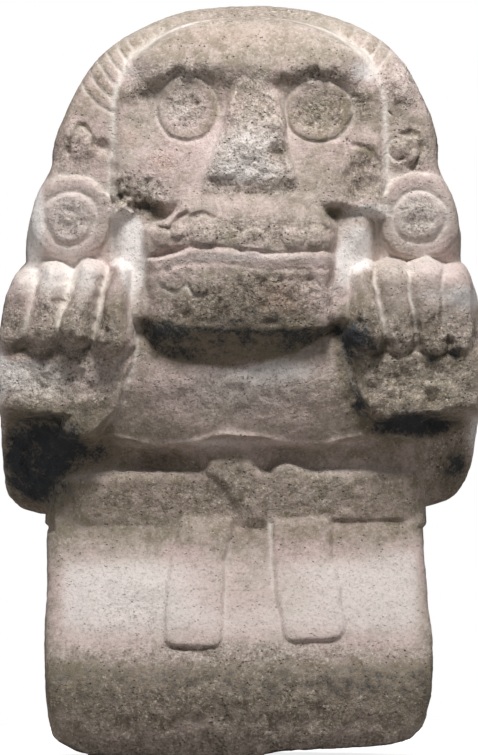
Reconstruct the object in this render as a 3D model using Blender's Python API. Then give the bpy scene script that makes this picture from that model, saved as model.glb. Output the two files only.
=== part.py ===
"""Kneeling skull-faced deity, carved from one block of volcanic stone.

Metres, +Z up. The figure looks towards -Y and kneels on z = 0; x = 0, y = 0 is the
middle of its plan. The block is worked the way a carver works one: a front view, a
flank view and a back view are each cut into it, and the three cuts meet in rounded
corners. A fine sphere is stretched over the result, then thinned to flat facets.
"""

import math

import bmesh
import bpy
import numpy as np
from mathutils import Matrix

# ---------------------------------------------------------------- driving sizes
HEIGHT = 0.75  # underside to crown
HALF_WIDTH = 0.240  # at the palms, the widest place
KNEE_REACH = 0.222  # middle of the plan to the knees
HEEL_REACH = 0.198  # middle of the plan to the heels

# ---------------------------------------------------------------- heights of the carving
KNEE = 0.058
BELT_FOOT, BELT_TOP = 0.234, 0.288
ELBOW_FOOT = 0.246
BREAST_EDGE = 0.3155
PALM_FOOT, HAND_TOP = (0.312, 0.332), 0.496
MOUTH = 0.503
NOSE_FOOT, NOSE_ROOT = 0.557, 0.668
SPOOL, EYE = 0.5375, 0.6445
FACE_FOOT, FACE_SPRING, FACE_TOP = 0.541, 0.635, 0.737
HAIR_SPRING = 0.5975

# ---------------------------------------------------------------- widths of the carving
FACE_MIDDLE, FACE_HALF_WIDTH = 0.009, 0.138
JAW_MIDDLE = 0.003
SPOOL_MIDDLE, SPOOL_RADIUS, SPOOL_DISC = 0.173, 0.043, 0.024
EYE_RADIUS = 0.0315
STRAND, LOCK_RELIEF = 0.021, 0.0022  # width and half-depth of one lock of hair
CORNER_RADIUS = 0.016  # where front, flank and back meet

# ---------------------------------------------------------------- the skin of the mesh
CORE_X, CORE_Y, CORE_LOW, CORE_HIGH = 0.120, 0.035, 0.10, 0.58
CORE_CORNER = 0.030
CORE_AXIS = 0.020  # the core lies this far behind the middle of the plan
COLUMNS, ROWS = 420, 400
LATTICE = 0.0015
MARCH = 0.006
ENLARGEMENT = 1000
FLATNESS = 0.0004  # what lies lower than this belongs to the flat underside
TRIANGLES = 9600

STONE_COLOUR = (0.36, 0.30, 0.26, 1.0)
STONE_ROUGHNESS = 0.9


NOTHING = -1.0  # the height of what isn't there


# ---------------------------------------------------------------- drawing tools
def curve(at, *knots):
    """Smooth line through (position, value) knots, level beyond the end ones."""
    place, value = np.array(sorted(knots), float).T
    step = np.diff(place)
    rise = np.diff(value) / step
    slope = np.zeros(len(place))
    turn = rise[:-1] * rise[1:] > 0
    slope[1:-1][turn] = 2 / (1 / rise[:-1][turn] + 1 / rise[1:][turn])
    i = np.clip(np.searchsorted(place, at) - 1, 0, len(step) - 1)
    s = np.clip((at - place[i]) / step[i], 0, 1)
    ease = s * s * (3 - 2 * s)
    bend = s * (1 - s) * ((1 - s) * slope[i] - s * slope[i + 1]) * step[i]
    return value[i] * (1 - ease) + value[i + 1] * ease + bend


def ramp(at, start, end):
    """0 at start, 1 at end, eased at both."""
    s = np.clip((at - start) / (end - start), 0, 1)
    return s * s * (3 - 2 * s)


def band(at, low, high, soft):
    """1 between low and high, easing to 0 over soft outside them."""
    return ramp(at, low - soft, low) * (1 - ramp(at, high, high + soft))


def edge(inside, radius):
    """Quarter-round edge: 0 on an outline, 1 from radius inside it."""
    s = 1 - np.clip(inside / radius, 0, 1)
    return np.sqrt(1 - s * s)


def merge(a, b, soft):
    """The higher of two heights, with a fillet where they meet."""
    gap = np.clip(1 - np.abs(a - b) / soft, 0, 1)
    return np.maximum(a, b) + gap * gap * soft / 4


def corner(a, b, radius):
    """Depth outside two cuts that meet in a rounded edge."""
    both = np.hypot(np.maximum(a + radius, 0), np.maximum(b + radius, 0))
    return np.minimum(np.maximum(a, b), -radius) + both


def only(inside, height):
    """A height where inside is positive, and nothing at all elsewhere."""
    return np.where(inside > 0, height, NOTHING)


def bump(x, z, place, size):
    """1 at a place, fading to 0 over an oval of half-sizes size."""
    far = np.hypot((x - place[0]) / size[0], (z - place[1]) / size[1])
    return 1 - ramp(far, 0, 1)


def within(x, z, place, size):
    """Depth inside an oval, in metres, along its short way."""
    far = np.hypot((x - place[0]) / size[0], (z - place[1]) / size[1])
    return (1 - far) * min(size)


def stroke(x, z, start, end):
    """Distance from a straight stroke, and the share of the way along it."""
    dx, dz = end[0] - start[0], end[1] - start[1]
    share = np.clip(((x - start[0]) * dx + (z - start[1]) * dz) / (dx * dx + dz * dz), 0, 1)
    return np.hypot(x - start[0] - share * dx, z - start[1] - share * dz), share


def both(a, b, soft):
    """The lower of two depths, eased where they are alike, so that corners come out round."""
    return -merge(-a, -b, soft)


# ---------------------------------------------------------------- outline
def body_half_width(z, side):
    """Skirt, waist, and the hair that flares from the crown to the shoulders."""
    foot = (0.125, 0.1645, 0.184) if side < 0 else (0.130, 0.149, 0.180)
    skirt = curve(
        z, (0.0, foot[0]), (0.012, foot[1]), (0.027, foot[2]), (0.08, 0.1915),
        (0.12, 0.192), (0.17, 0.188), (0.23, 0.186), (0.30, 0.180), (0.36, 0.172),
    )
    rise = np.clip((z - HAIR_SPRING) / (HEIGHT - HAIR_SPRING), 0, 1)
    dome = 0.190 * (1 - rise**2.15) ** (1 / 2.15)
    dome = dome - 0.005 * bump(0, z, (0, 0.662), (1, 0.055))
    flare = curve(z, (0.47, 0.026), (0.517, 0.0245), (0.537, 0.0215), (0.557, 0.0165), (0.597, 0.0))
    head = np.maximum((dome + flare) * ramp(z, 0.40, 0.47), 0.172 * (z < 0.5))
    return np.where(z < 0.40, skirt, head)


def arm_half_width(z, side):
    """Elbow, forearm and the heel of the hand."""
    foot, elbow = (ELBOW_FOOT, 0.2330) if side < 0 else (ELBOW_FOOT + 0.010, 0.2355)
    return curve(
        z, (foot - 0.010, 0.150), (foot, 0.206), (foot + 0.010, 0.2205), (foot + 0.021, 0.2280),
        (0.30, elbow), (0.34, elbow + 0.0035), (0.385, HALF_WIDTH), (0.43, 0.2375), (0.458, 0.2335),
        (0.477, 0.2270), (0.488, 0.2210), (0.500, 0.203), (0.515, 0.0),
    )


def centre_line(z):
    """The head leans a little to +X, the skirt to -X."""
    return curve(
        z, (0.0, -0.002), (0.08, -0.001), (0.23, -0.005), (0.40, 0.0), (0.55, 0.004),
        (0.60, 0.005), (0.65, 0.0075), (0.75, 0.0095),
    )


def underside(x, y):
    """Height of the foot: level, but rising to the figure's left where the edge is lost."""
    lost = curve(
        x, (0.005, 0.0), (0.022, 0.0076), (0.048, 0.0120), (0.136, 0.0165), (0.165, 0.0215),
        (0.186, 0.036),
    )
    return np.maximum(lost - 0.024 * (y + 0.20), 0)


# ---------------------------------------------------------------- front view
def lap(x, z):
    """Thighs slope from the belt to the knees, then the skirt turns under."""
    reach = KNEE_REACH - curve(
        z, (0.0, 0.024), (0.010, 0.013), (0.030, 0.004), (KNEE, 0.0), (0.075, 0.003),
        (0.095, 0.013), (0.125, 0.032), (0.16, 0.054), (0.20, 0.078), (0.236, 0.094),
        (0.27, 0.125),
    )
    return only(0.29 - z, reach - 0.35 * x * x)


def sash_tails(x, z):
    """The two ends of the sash, hanging side by side over the lap."""
    left = both(
        x - curve(z, (0.115, -0.0745), (0.191, -0.069), (0.227, -0.062)),
        curve(z, (0.115, -0.0175), (0.197, -0.0145), (0.228, -0.008)) - x, 0.010,
    )
    right = both(
        x - curve(z, (0.115, 0.045), (0.160, 0.036), (0.225, 0.032)),
        curve(z, (0.123, 0.104), (0.176, 0.098), (0.204, 0.091)) - x, 0.010,
    )
    left = both(left, z - 0.113, 0.010)
    right = both(right, z - 0.116 - 0.12 * (x - 0.045), 0.010)
    return 0.0075 * edge(np.maximum(left, right), 0.007)


def waist(x, z):
    """Breast above the scalloped line, and below it a shallow waist with a pocket on each side."""
    scallop = BREAST_EDGE - 0.0055 * np.cos(2 * math.pi * (np.abs(x + 0.005) - 0.070) / 0.14)
    breast = curve(
        z, (0.27, 0.122), (0.30, 0.128), (0.32, 0.141), (0.35, 0.150), (0.38, 0.157),
        (0.41, 0.156), (0.435, 0.145), (0.455, 0.110), (0.50, 0.095),
    )
    below = 0.006 * (1 - ramp(z, scallop - 0.005, scallop + 0.002))
    pockets = 0.015 * bump(x, z, (-0.084, 0.294), (0.050, 0.020))
    pockets = pockets + 0.007 * bump(x, z, (0.050, 0.301), (0.040, 0.016))
    pockets = pockets - 0.011 * bump(x, z, (-0.004, 0.302), (0.045, 0.030))
    return only(0.52 - z, breast - 0.5 * x * x - below - pockets)


def belt(x, z):
    """The wide sash, wound flat round the waist."""
    top = curve(x, (-0.196, 0.279), (-0.132, 0.287), (0.07, BELT_TOP))
    above = z - curve(x, (-0.1, BELT_FOOT - 0.002), (0.1, BELT_FOOT + 0.003))
    reach = np.minimum(0.116 + 0.014 * edge(top - z, 0.012), 0.126 + 0.004 * edge(above, 0.004))
    wrap = 0.30 * x * x + 12 * np.maximum(np.abs(x) - 0.150, 0) ** 2
    return only(np.minimum(above, top - z), reach - wrap)


def knot(x, z):
    """The sash doubled over itself: a rounded loop, with a second fold beside it."""
    left = curve(
        z, (0.229, -0.001), (0.247, -0.004), (0.259, -0.012), (0.272, -0.020), (0.286, -0.038),
    )
    crown = curve(
        x, (-0.038, 0.288), (-0.026, 0.300), (-0.010, 0.304), (0.007, 0.302), (0.018, 0.293),
        (0.031, 0.284),
    )
    loop = both(both(x - left, 0.030 - x, 0.006), both(crown - z, z - 0.228, 0.006), 0.006)
    hump = curve(x, (0.030, 0.290), (0.046, 0.295), (0.071, 0.288))
    fold = both(both(x - 0.031, 0.071 - x, 0.006), both(hump - z, z - BELT_FOOT, 0.006), 0.006)
    reach = np.maximum(0.124 + 0.011 * edge(loop, 0.014), 0.124 + 0.008 * edge(fold, 0.014))
    return only(np.maximum(loop, fold), reach)


def upper_arms(x, z):
    """Upper arms, and the elbows that stand out past the belt."""
    inside = both(np.abs(x) - 0.120, z - ELBOW_FOOT, 0.02)
    return only(np.minimum(inside, 0.5 - z), 0.056 + 0.046 * edge(inside, 0.045))


def palm(x, z, side):
    """The hand held up, palm forward, in front of the upper arm."""
    across = side * x
    inner = across - curve(
        z, (0.322, 0.134), (0.345, 0.119), (0.375, 0.108), (0.41, 0.0985), (0.48, 0.099),
    )
    low, slant = (PALM_FOOT[0], 0.30) if side < 0 else (PALM_FOOT[1], 0.10)
    foot = z - low - slant * (across - 0.16)
    inside = both(both(inner, foot, 0.022), HAND_TOP - 0.006 - z, 0.01)
    hollow = 0.006 * bump(across, z, (0.175, 0.375), (0.05, 0.04)) + 0.016 * ramp(z, 0.395, 0.425)
    return only(inside, 0.090 + 0.068 * edge(inside, 0.012) - hollow)


def finger_row(side):
    """Each finger from the inside out: top, tip, half-width at both, and how far it curls forward."""
    if side < 0:
        return (
            ((-0.1175, 0.4840), (-0.1255, 0.4160), 0.0095, 0.0160, 0.016),
            ((-0.1480, 0.4810), (-0.1640, 0.4265), 0.0110, 0.0165, 0.014),
            ((-0.1870, 0.4790), (-0.1975, 0.4260), 0.0110, 0.0165, 0.014),
            ((-0.2180, 0.4700), (-0.2265, 0.4260), 0.0110, 0.0150, 0.012),
        )
    return (
        ((0.1200, 0.4820), (0.1245, 0.4230), 0.0105, 0.0200, 0.010),
        ((0.1500, 0.4740), (0.1575, 0.4180), 0.0190, 0.0180, -0.002),
        ((0.1840, 0.4740), (0.1910, 0.4140), 0.0185, 0.0165, -0.004),
        ((0.2140, 0.4690), (0.2180, 0.4130), 0.0165, 0.0150, -0.004),
    )


def fingers(x, z, side):
    """Four rolls side by side, widening and curling forward to the tip, in a narrow web."""
    reach = NOTHING
    for top, tip, narrow, wide, curl in finger_row(side):
        off, share = stroke(x, z, top, tip)
        inside = narrow + (wide - narrow) * share - off
        roll = 0.143 + curl * share
        web = 0.005 * ramp(inside, -0.005, 0.001)
        reach = np.maximum(reach, only(inside + 0.005, roll + web + 0.020 * edge(inside, wide)))
    return reach


def neck(x, z):
    """Shallow recess on each side of the jaw, closed below by the hands."""
    across = np.abs(x - JAW_MIDDLE)
    inside = both(0.132 - across, both(z - 0.425, 0.565 - z, 0.01), 0.01)
    reach = 0.146 + 0.14 * (0.56 - z) - 0.5 * np.maximum(across - 0.098, 0)
    reach = reach + 0.012 * bump(x, z, (0.124, 0.530), (0.028, 0.040))
    return only(inside, 0.110 + (reach - 0.110) * edge(inside, 0.018))


def hair_front(x, z):
    """The slab of hair and ears that frames the face."""
    reach = curve(
        z, (0.46, 0.114), (0.50, 0.126), (0.55, 0.133), (0.62, 0.134), (0.68, 0.130),
        (0.71, 0.120), (0.73, 0.105), (0.742, 0.086), (0.748, 0.067), (0.75, 0.048),
    )
    lump = 0.006 * bump(x, z, (0.158, 0.668), (0.024, 0.030))
    return only(z - 0.45, reach + lump + hair_locks(x, z) + spools(x, z) + ears(x, z))


def hair_locks(x, z):
    """Grooves across the arch of hair, fanning out from the middle of the face."""
    angle = np.abs(np.arctan2(x - FACE_MIDDLE, z - 0.585))
    locks = np.cos(2 * math.pi * angle * 0.165 / STRAND)
    whole = ramp(angle, 0.20, 0.45) * (1 - ramp(angle, 1.15, 1.25))
    broken = bump(x, z, (0.158, 0.668), (0.045, 0.050))
    return LOCK_RELIEF * locks * whole * (1 - broken)


def spools(x, z):
    """Round ear ornaments: a flat ring with a raised disc in it."""
    far = np.hypot(np.abs(x - 0.005) - SPOOL_MIDDLE, z - SPOOL)
    ring = 0.007 * edge(SPOOL_RADIUS - far, 0.005)
    groove = 0.003 * band(far, SPOOL_DISC, SPOOL_DISC + 0.004, 0.002)
    return ring - groove + 0.0012 * edge(SPOOL_DISC - far, 0.004)


def ears(x, z):
    """Two curled folds above each spool."""
    across = np.abs(x - 0.006) - 0.170
    far = np.hypot(across, (z - 0.608) * 0.85)
    helix = 0.006 * band(far, 0.011, 0.019, 0.004) * (z > 0.600)
    lobe = 0.006 * bump(across, z, (-0.010, 0.606), (0.016, 0.020))
    return (helix + lobe) * band(z, 0.585, 0.640, 0.006)


def brow_line(x):
    """Height of the brow's edge: an arch over each eye, dipping between them."""
    return curve(
        x, (-0.128, 0.640), (-0.115, 0.652), (-0.097, 0.663), (-0.079, 0.673), (-0.066, 0.679),
        (-0.046, 0.681), (-0.024, 0.677), (0.004, 0.674), (0.034, 0.675), (0.056, 0.680),
        (0.078, 0.681), (0.096, 0.677), (0.110, 0.668), (0.120, 0.656), (0.130, 0.640), (0.136, 0.622),
    )


def eyes(x, z):
    """Flat round beds in a sunk line."""
    left = within(x, z, (-0.0530, EYE + 0.002), (EYE_RADIUS, 0.0305))
    right = within(x, z, (0.0780, EYE - 0.002), (EYE_RADIUS + 0.001, 0.0305))
    inside = np.maximum(left, right)
    return 0.0020 * edge(inside, 0.0030) - 0.0020 * band(inside, -0.0025, -0.0005, 0.001)


def cheek_breaks(x, z):
    """Old breaks along both cheekbones: hollows at the left, a deeper bite at the right."""
    left = 0.006 * bump(x, z, (-0.103, 0.562), (0.040, 0.030))
    left = left + 0.008 * bump(x, z, (-0.117, 0.557), (0.009, 0.009))
    left = left + 0.010 * bump(x, z, (-0.100, 0.549), (0.013, 0.013))
    left = left + 0.014 * bump(x, z, (-0.086, 0.542), (0.015, 0.014))
    right = 0.008 * bump(x, z, (0.124, 0.572), (0.026, 0.042))
    notch = 0.018 * bump(x, z, (0.103, 0.539), (0.019, 0.013))
    return left + right + notch


def skull(x, z):
    """Forehead above the brow's edge, cheek plane below it, falling off towards the sides."""
    across = np.abs(x - FACE_MIDDLE)
    rise = np.clip((z - FACE_SPRING) / (FACE_TOP - FACE_SPRING), 0, 1)
    arch = FACE_HALF_WIDTH * (1 - rise**2.3) ** (1 / 2.3)
    inside = np.minimum(arch - across, z - FACE_FOOT + 0.04 * across)
    forehead = curve(
        z, (0.64, 0.166), (0.665, 0.169), (0.685, 0.1685), (0.70, 0.165), (0.715, 0.157),
        (0.728, 0.146), (FACE_TOP, 0.134),
    )
    cheek = curve(z, (0.54, 0.172), (0.57, 0.169), (0.60, 0.164), (0.64, 0.156), (0.67, 0.154))
    over = ramp(z, brow_line(x) - 0.010, brow_line(x) + 0.009)
    aside = ramp(across, 0.075, 0.118)
    overhang = (forehead - cheek) * (0.62 - 0.47 * aside - 0.36 * bump(x, 0, (0.012, 0), (0.055, 1)))
    blend = ramp(z, 0.63 + 0.045 * aside, 0.70 + 0.020 * aside)
    skin = cheek + overhang * over + (forehead - cheek - overhang) * blend
    skin = skin + 0.006 * bump(x, z, (0.013, 0.672), (0.030, 0.030)) * (1 - over)
    skin = skin - 1.1 * across**2 + eyes(x, z) - cheek_breaks(x, z)
    return only(inside, 0.128 + (skin - 0.128) * edge(inside, 0.017))


def nose(x, z):
    """Battered wedge, widening from the root to the nostrils."""
    middle = curve(z, (NOSE_FOOT, 0.010), (NOSE_ROOT, 0.014))
    half = curve(
        z, (NOSE_FOOT, 0.048), (0.570, 0.0495), (0.603, 0.0385), (0.632, 0.031), (0.657, 0.0245),
        (NOSE_ROOT, 0.021),
    )
    ends = np.minimum(z - NOSE_FOOT, NOSE_ROOT + 0.006 - z)
    inside = both(half - np.abs(x - middle), ends, 0.010)
    ridge = curve(
        z, (NOSE_FOOT, 0.1725), (0.566, 0.1748), (0.582, 0.1798), (0.600, 0.1805), (0.64, 0.173),
        (NOSE_ROOT, 0.165),
    )
    ridge = ridge - 0.10 * np.abs(x - 0.012)
    nostril = 0.005 * bump(x, z, (0.038, 0.600), (0.015, 0.018))
    nostril = nostril + 0.002 * bump(x, z, (-0.006, 0.600), (0.012, 0.014))
    return only(inside, 0.160 + (ridge - 0.160 - nostril) * edge(inside, 0.010))


def jaw_foot(x):
    """Height where the underside of the jaw meets the chest: a curve lowest in the middle."""
    return curve(
        x, (-0.100, 0.424), (-0.088, 0.411), (-0.063, 0.397), (-0.010, 0.391), (0.046, 0.402),
        (0.097, 0.424),
    )


def chin_line(x):
    """Height of the chin's worn edge."""
    return curve(x, (-0.092, 0.440), (-0.048, 0.433), (0.005, 0.429), (0.083, 0.432), (0.097, 0.437))


def jaw_sides(x, z):
    """Depth inside the jaw's outline, which narrows where it slips under the cheekbones."""
    left = curve(
        z, (0.44, -0.0965), (0.465, -0.0995), (0.524, -0.1000), (0.536, -0.076), (0.550, -0.067),
        (0.57, -0.058),
    )
    right = curve(
        z, (0.44, 0.0965), (0.527, 0.0980), (0.540, 0.092), (0.553, 0.084), (0.57, 0.070),
    )
    return np.minimum(x - left, right - x)


def teeth(x, z):
    """Worn lumps of the upper teeth, and three short ones under the lip."""
    upper = (
        (-0.0775, 0.519, 0.0090, 0.0095), (-0.0620, 0.5245, 0.0075, 0.0080),
        (-0.0360, 0.521, 0.0150, 0.0140), (0.0145, 0.513, 0.0170, 0.0125),
        (0.0530, 0.517, 0.0125, 0.0110), (0.0750, 0.518, 0.0085, 0.0115),
        (0.0900, 0.516, 0.0065, 0.0110), (0.0890, 0.535, 0.0080, 0.0095),
    )
    lower = (
        (-0.0795, 0.480, 0.0070, 0.011), (-0.0625, 0.478, 0.0088, 0.013),
        (-0.0400, 0.475, 0.0100, 0.014),
    )
    relief = 0
    for across, up, wide, high in upper + lower:
        lump = edge(within(x, z, (across, up), (wide, high)), 0.006)
        relief = np.maximum(relief, 0.0040 * lump)
    return relief


def jaw(x, z):
    """Barrel-shaped jaw over a plain sloping underside, slit by the mouth."""
    across = x - JAW_MIDDLE
    profile = curve(
        z, (0.40, 0.180), (0.440, 0.184), (0.462, 0.186), (0.495, 0.187), (0.515, 0.186),
        (0.530, 0.184), (0.545, 0.180), (0.558, 0.174), (0.575, 0.163), (0.60, 0.145),
    )
    slit = 0.006 * band(z, MOUTH - 0.001, MOUTH + 0.003, 0.003) * band(across, -0.082, 0.086, 0.006)
    under = (z - jaw_foot(x)) / (chin_line(x) - jaw_foot(x))
    skin = both(profile - 1.9 * across**2 - slit + teeth(x, z), 0.150 + 0.036 * under, 0.010)
    inside = jaw_sides(x, z)
    rounding = curve(z, (0.43, 0.014), (0.50, 0.013), (0.535, 0.010))
    skin = 0.110 + (skin - 0.110) * edge(inside, rounding)
    return only(np.minimum(np.minimum(inside, 0.62 - z), under + 0.3), skin)


def front(x, z):
    """How far the front of the figure stands from the middle of the plan, towards -Y."""
    reach = np.maximum(waist(x, z), belt(x, z))
    reach = merge(reach, lap(x, z) + sash_tails(x, z), 0.004)
    reach = np.maximum(reach, knot(x, z))
    beside = band(z, ELBOW_FOOT - 0.02, 0.340, 0.001) * ramp(np.abs(x), 0.184, 0.196)
    reach = merge(reach * (1 - beside), upper_arms(x, z), 0.008)
    reach = merge(reach, hair_front(x, z), 0.006)
    reach = merge(reach, neck(x, z), 0.006)
    for side in (-1, 1):
        reach = merge(reach, palm(x, z, side), 0.004)
        reach = merge(reach, fingers(x, z, side), 0.0015)
    reach = merge(reach, skull(x, z), 0.003)
    reach = merge(reach, jaw(x, z), 0.008)
    return merge(reach, nose(x, z), 0.006)


# ---------------------------------------------------------------- flank and back views
def flank(y, z, side):
    """Half-width of the figure where it is cut from the side."""
    body = body_half_width(z, side) + 0.004 * band(z, BELT_FOOT, BELT_TOP, 0.004)
    fold = curve(y, (-0.16, 0.070), (0.02, 0.098), (0.20, 0.112))
    body = body - 0.008 * bump(0, z, (0, fold), (1, 0.014)) * ramp(y, -0.16, -0.04)
    locks = np.cos(2 * math.pi * (y + 0.3 * (z - 0.5)) / STRAND) * band(z, 0.52, 0.72, 0.03)
    body = body + LOCK_RELIEF * locks * (y > -0.06)
    rear = curve(
        z, (0.24, 0.020), (0.26, 0.055), (0.29, 0.078), (0.34, 0.090), (0.45, 0.088), (0.51, 0.060),
    )
    fore = curve(z, (0.24, 0.030), (0.26, 0.065), (0.30, 0.092), (0.335, 0.105), (0.350, 0.170))
    beside = (1 - ramp(y, rear - 0.020, rear + 0.016)) * ramp(y, -fore - 0.02, -fore + 0.02)
    arm = body + (arm_half_width(z, side) - body) * beside
    bend = curve(z, (0.27, -0.015), (0.50, -0.062))
    crease = 0.010 * bump(y, 0, (bend, 0), (0.014, 1)) * band(z, 0.32, 0.49, 0.03)
    return np.maximum(body, arm - crease)


def back(x, z):
    """How far the back stands from the middle of the plan, towards +Y: hair, sash, heels."""
    reach = curve(
        z, (0.0, 0.186), (0.02, 0.194), (0.06, HEEL_REACH), (0.12, 0.195), (0.17, 0.180),
        (0.21, 0.155), (0.25, 0.130), (0.29, 0.112), (0.34, 0.112), (0.40, 0.118), (0.47, 0.120),
        (0.56, 0.122), (0.63, 0.120), (0.68, 0.111), (0.71, 0.099), (0.73, 0.083), (0.742, 0.066),
        (0.75, 0.040),
    )
    reach = reach - 0.7 * x * x
    panel = both(0.125 - np.abs(x), z - 0.345, 0.02)
    locks = LOCK_RELIEF * np.cos(2 * math.pi * x / STRAND)
    reach = reach + (0.009 + locks) * edge(panel, 0.008)
    reach = reach + 0.008 * edge(np.minimum(z - BELT_FOOT, BELT_TOP - z), 0.006)
    under = 1 - ramp(z, 0.128, 0.140)
    sole = within(np.abs(x), z, (0.066, 0.062), (0.043, 0.062))
    return reach - under * 0.014 * (1 - edge(sole, 0.014))


class View:
    """A view evaluated once on a fine lattice, then read between its points."""

    def __init__(self, drawing, low, high):
        self.low, self.high = low, high
        self.across = np.arange(low, high + LATTICE, LATTICE)
        self.up = np.arange(0, HEIGHT + LATTICE, LATTICE)
        self.value = drawing(*np.meshgrid(self.across, self.up, indexing="ij"))

    def __call__(self, across, z):
        i = np.clip((across - self.low) / LATTICE, 0, len(self.across) - 1.001)
        j = np.clip(z / LATTICE, 0, len(self.up) - 1.001)
        a, b = i.astype(int), j.astype(int)
        i, j = i - a, j - b
        low = self.value[a, b] * (1 - i) + self.value[a + 1, b] * i
        high = self.value[a, b + 1] * (1 - i) + self.value[a + 1, b + 1] * i
        return low * (1 - j) + high * j


def carved_block():
    """A measure, negative inside the figure, of how far a point lies outside it."""
    width, depth = HALF_WIDTH + 0.05, KNEE_REACH + 0.05
    front_view, back_view = View(front, -width, width), View(back, -width, width)
    left_view = View(lambda y, z: flank(y, z, -1), -depth, depth)
    right_view = View(lambda y, z: flank(y, z, 1), -depth, depth)

    def outside(x, y, z):
        across = x - centre_line(z)
        flank_depth = np.abs(across) - np.where(across < 0, left_view(y, z), right_view(y, z))
        depth = np.maximum(-y - front_view(x, z), y - back_view(x, z))
        depth = corner(depth, flank_depth, CORNER_RADIUS)
        return np.maximum(np.maximum(depth, underside(x, y) - z), z - HEIGHT)

    return outside


# ---------------------------------------------------------------- stretching the sphere
def leg_shares(along, *lengths):
    """For each leg of a way, the share of it that is done."""
    ends = np.cumsum((0,) + lengths) / sum(lengths)
    return [np.clip((along - a) / (b - a), 0, 1) for a, b in zip(ends[:-1], ends[1:])]


def plan_ray(turn):
    """Start and heading, in plan, of the ray at a share of a turn, counted from the back."""
    wide, deep = CORE_X - CORE_CORNER, CORE_Y - CORE_CORNER
    done = leg_shares(turn, wide, 0.16, 2 * deep, 0.26, 2.6 * wide, 0.26, 2 * deep, 0.16, wide)
    heading = math.pi / 2 * (done[1] + done[3] + done[5] + done[7])
    east, north = np.sin(heading), np.cos(heading)
    x = wide * (done[0] - 2 * done[4] + done[8]) + CORE_CORNER * east
    y = deep * (1 - 2 * done[2] + 2 * done[6]) + CORE_CORNER * north
    return x, y, east, north


def level_ray(rise):
    """Height, climb and shrink of the ray at a share of the way from foot to crown."""
    done = leg_shares(rise, 0.030, 0.16, CORE_HIGH - CORE_LOW, 0.26, 0.08)
    height = CORE_LOW + (CORE_HIGH - CORE_LOW) * done[2]
    climb = math.pi / 2 * (done[1] - 1 + done[3])
    shrink = done[0] * (1 - done[4])
    return height, climb, shrink


def surface_point(turn, rise):
    """The outermost point of the figure along the ray at (turn, rise)."""
    x, y, east, north = plan_ray(turn)
    height, climb, shrink = level_ray(rise)
    start = np.stack([x * shrink, CORE_AXIS + y * shrink, height])
    heading = np.stack([east * np.cos(climb), north * np.cos(climb), np.sin(climb)])
    outside = carved_block()
    solid = np.zeros(x.shape)
    for distance in np.arange(0.02, 0.36, MARCH):
        solid[outside(*(start + heading * distance)) < 0] = distance
    air = solid + MARCH
    for _ in range(9):
        middle = (solid + air) / 2
        carved = outside(*(start + heading * middle)) < 0
        solid = np.where(carved, middle, solid)
        air = np.where(carved, air, middle)
    return start + heading * solid


def stone():
    material = bpy.data.materials.new("volcanic_stone")
    material.use_nodes = True
    shader = material.node_tree.nodes["Principled BSDF"]
    shader.inputs["Base Color"].default_value = STONE_COLOUR
    shader.inputs["Roughness"].default_value = STONE_ROUGHNESS
    shader.inputs["Metallic"].default_value = 0.0
    return material


def carved_mesh():
    """A sphere whose every vertex slides out along its ray to the carved surface."""
    sphere = bmesh.new()
    bmesh.ops.create_uvsphere(sphere, u_segments=COLUMNS, v_segments=ROWS, radius=1)
    unit = np.array([vertex.co for vertex in sphere.verts])
    turn = (np.arctan2(unit[:, 0], unit[:, 1]) / (2 * math.pi)) % 1
    rise = 1 - np.arccos(np.clip(unit[:, 2], -1, 1)) / math.pi
    carved = surface_point(turn, rise).T
    carved[:, 2] = np.where(carved[:, 2] < FLATNESS, 0.0, carved[:, 2])
    for vertex, place in zip(sphere.verts, carved * ENLARGEMENT):
        vertex.co = place
    bmesh.ops.triangulate(sphere, faces=sphere.faces)
    mesh = bpy.data.meshes.new("statue")
    sphere.to_mesh(mesh)
    sphere.free()
    return faceted(mesh)


def faceted(fine):
    """The fine mesh thinned to large facets where it is flat and small ones where it turns.

    Decimate takes anything under a millimetre, in metres, for flat, so it works on an
    enlargement, which is then brought back to size.
    """
    enlarged = bpy.data.objects.new("enlarged", fine)
    bpy.context.scene.collection.objects.link(enlarged)
    thin = enlarged.modifiers.new("Facets", "DECIMATE")
    thin.ratio = TRIANGLES / len(fine.polygons)
    graph = bpy.context.evaluated_depsgraph_get()
    mesh = bpy.data.meshes.new_from_object(enlarged.evaluated_get(graph))
    mesh.transform(Matrix.Scale(1 / ENLARGEMENT, 4))
    bpy.data.objects.remove(enlarged)
    return mesh


def statue():
    """The carved block, with the middle of its plan over the origin."""
    mesh = carved_mesh()
    mesh.name = "statue"
    places = np.array([vertex.co for vertex in mesh.vertices])
    x, y, _ = (places.min(axis=0) + places.max(axis=0)) / 2
    mesh.transform(Matrix.Translation((-x, -y, 0)))
    mesh.materials.append(stone())
    return bpy.data.objects.new("statue", mesh)


def main():
    for old in list(bpy.data.objects):
        bpy.data.objects.remove(old)
    collection = bpy.data.collections.new("stone_deity_statue")
    bpy.context.scene.collection.children.link(collection)
    collection.objects.link(statue())


if __name__ == "__main__":
    main()
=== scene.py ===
"""Looks of the kneeling skull-faced deity: one block of volcanic stone, in a plain studio."""

import math
from functools import reduce

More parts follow.
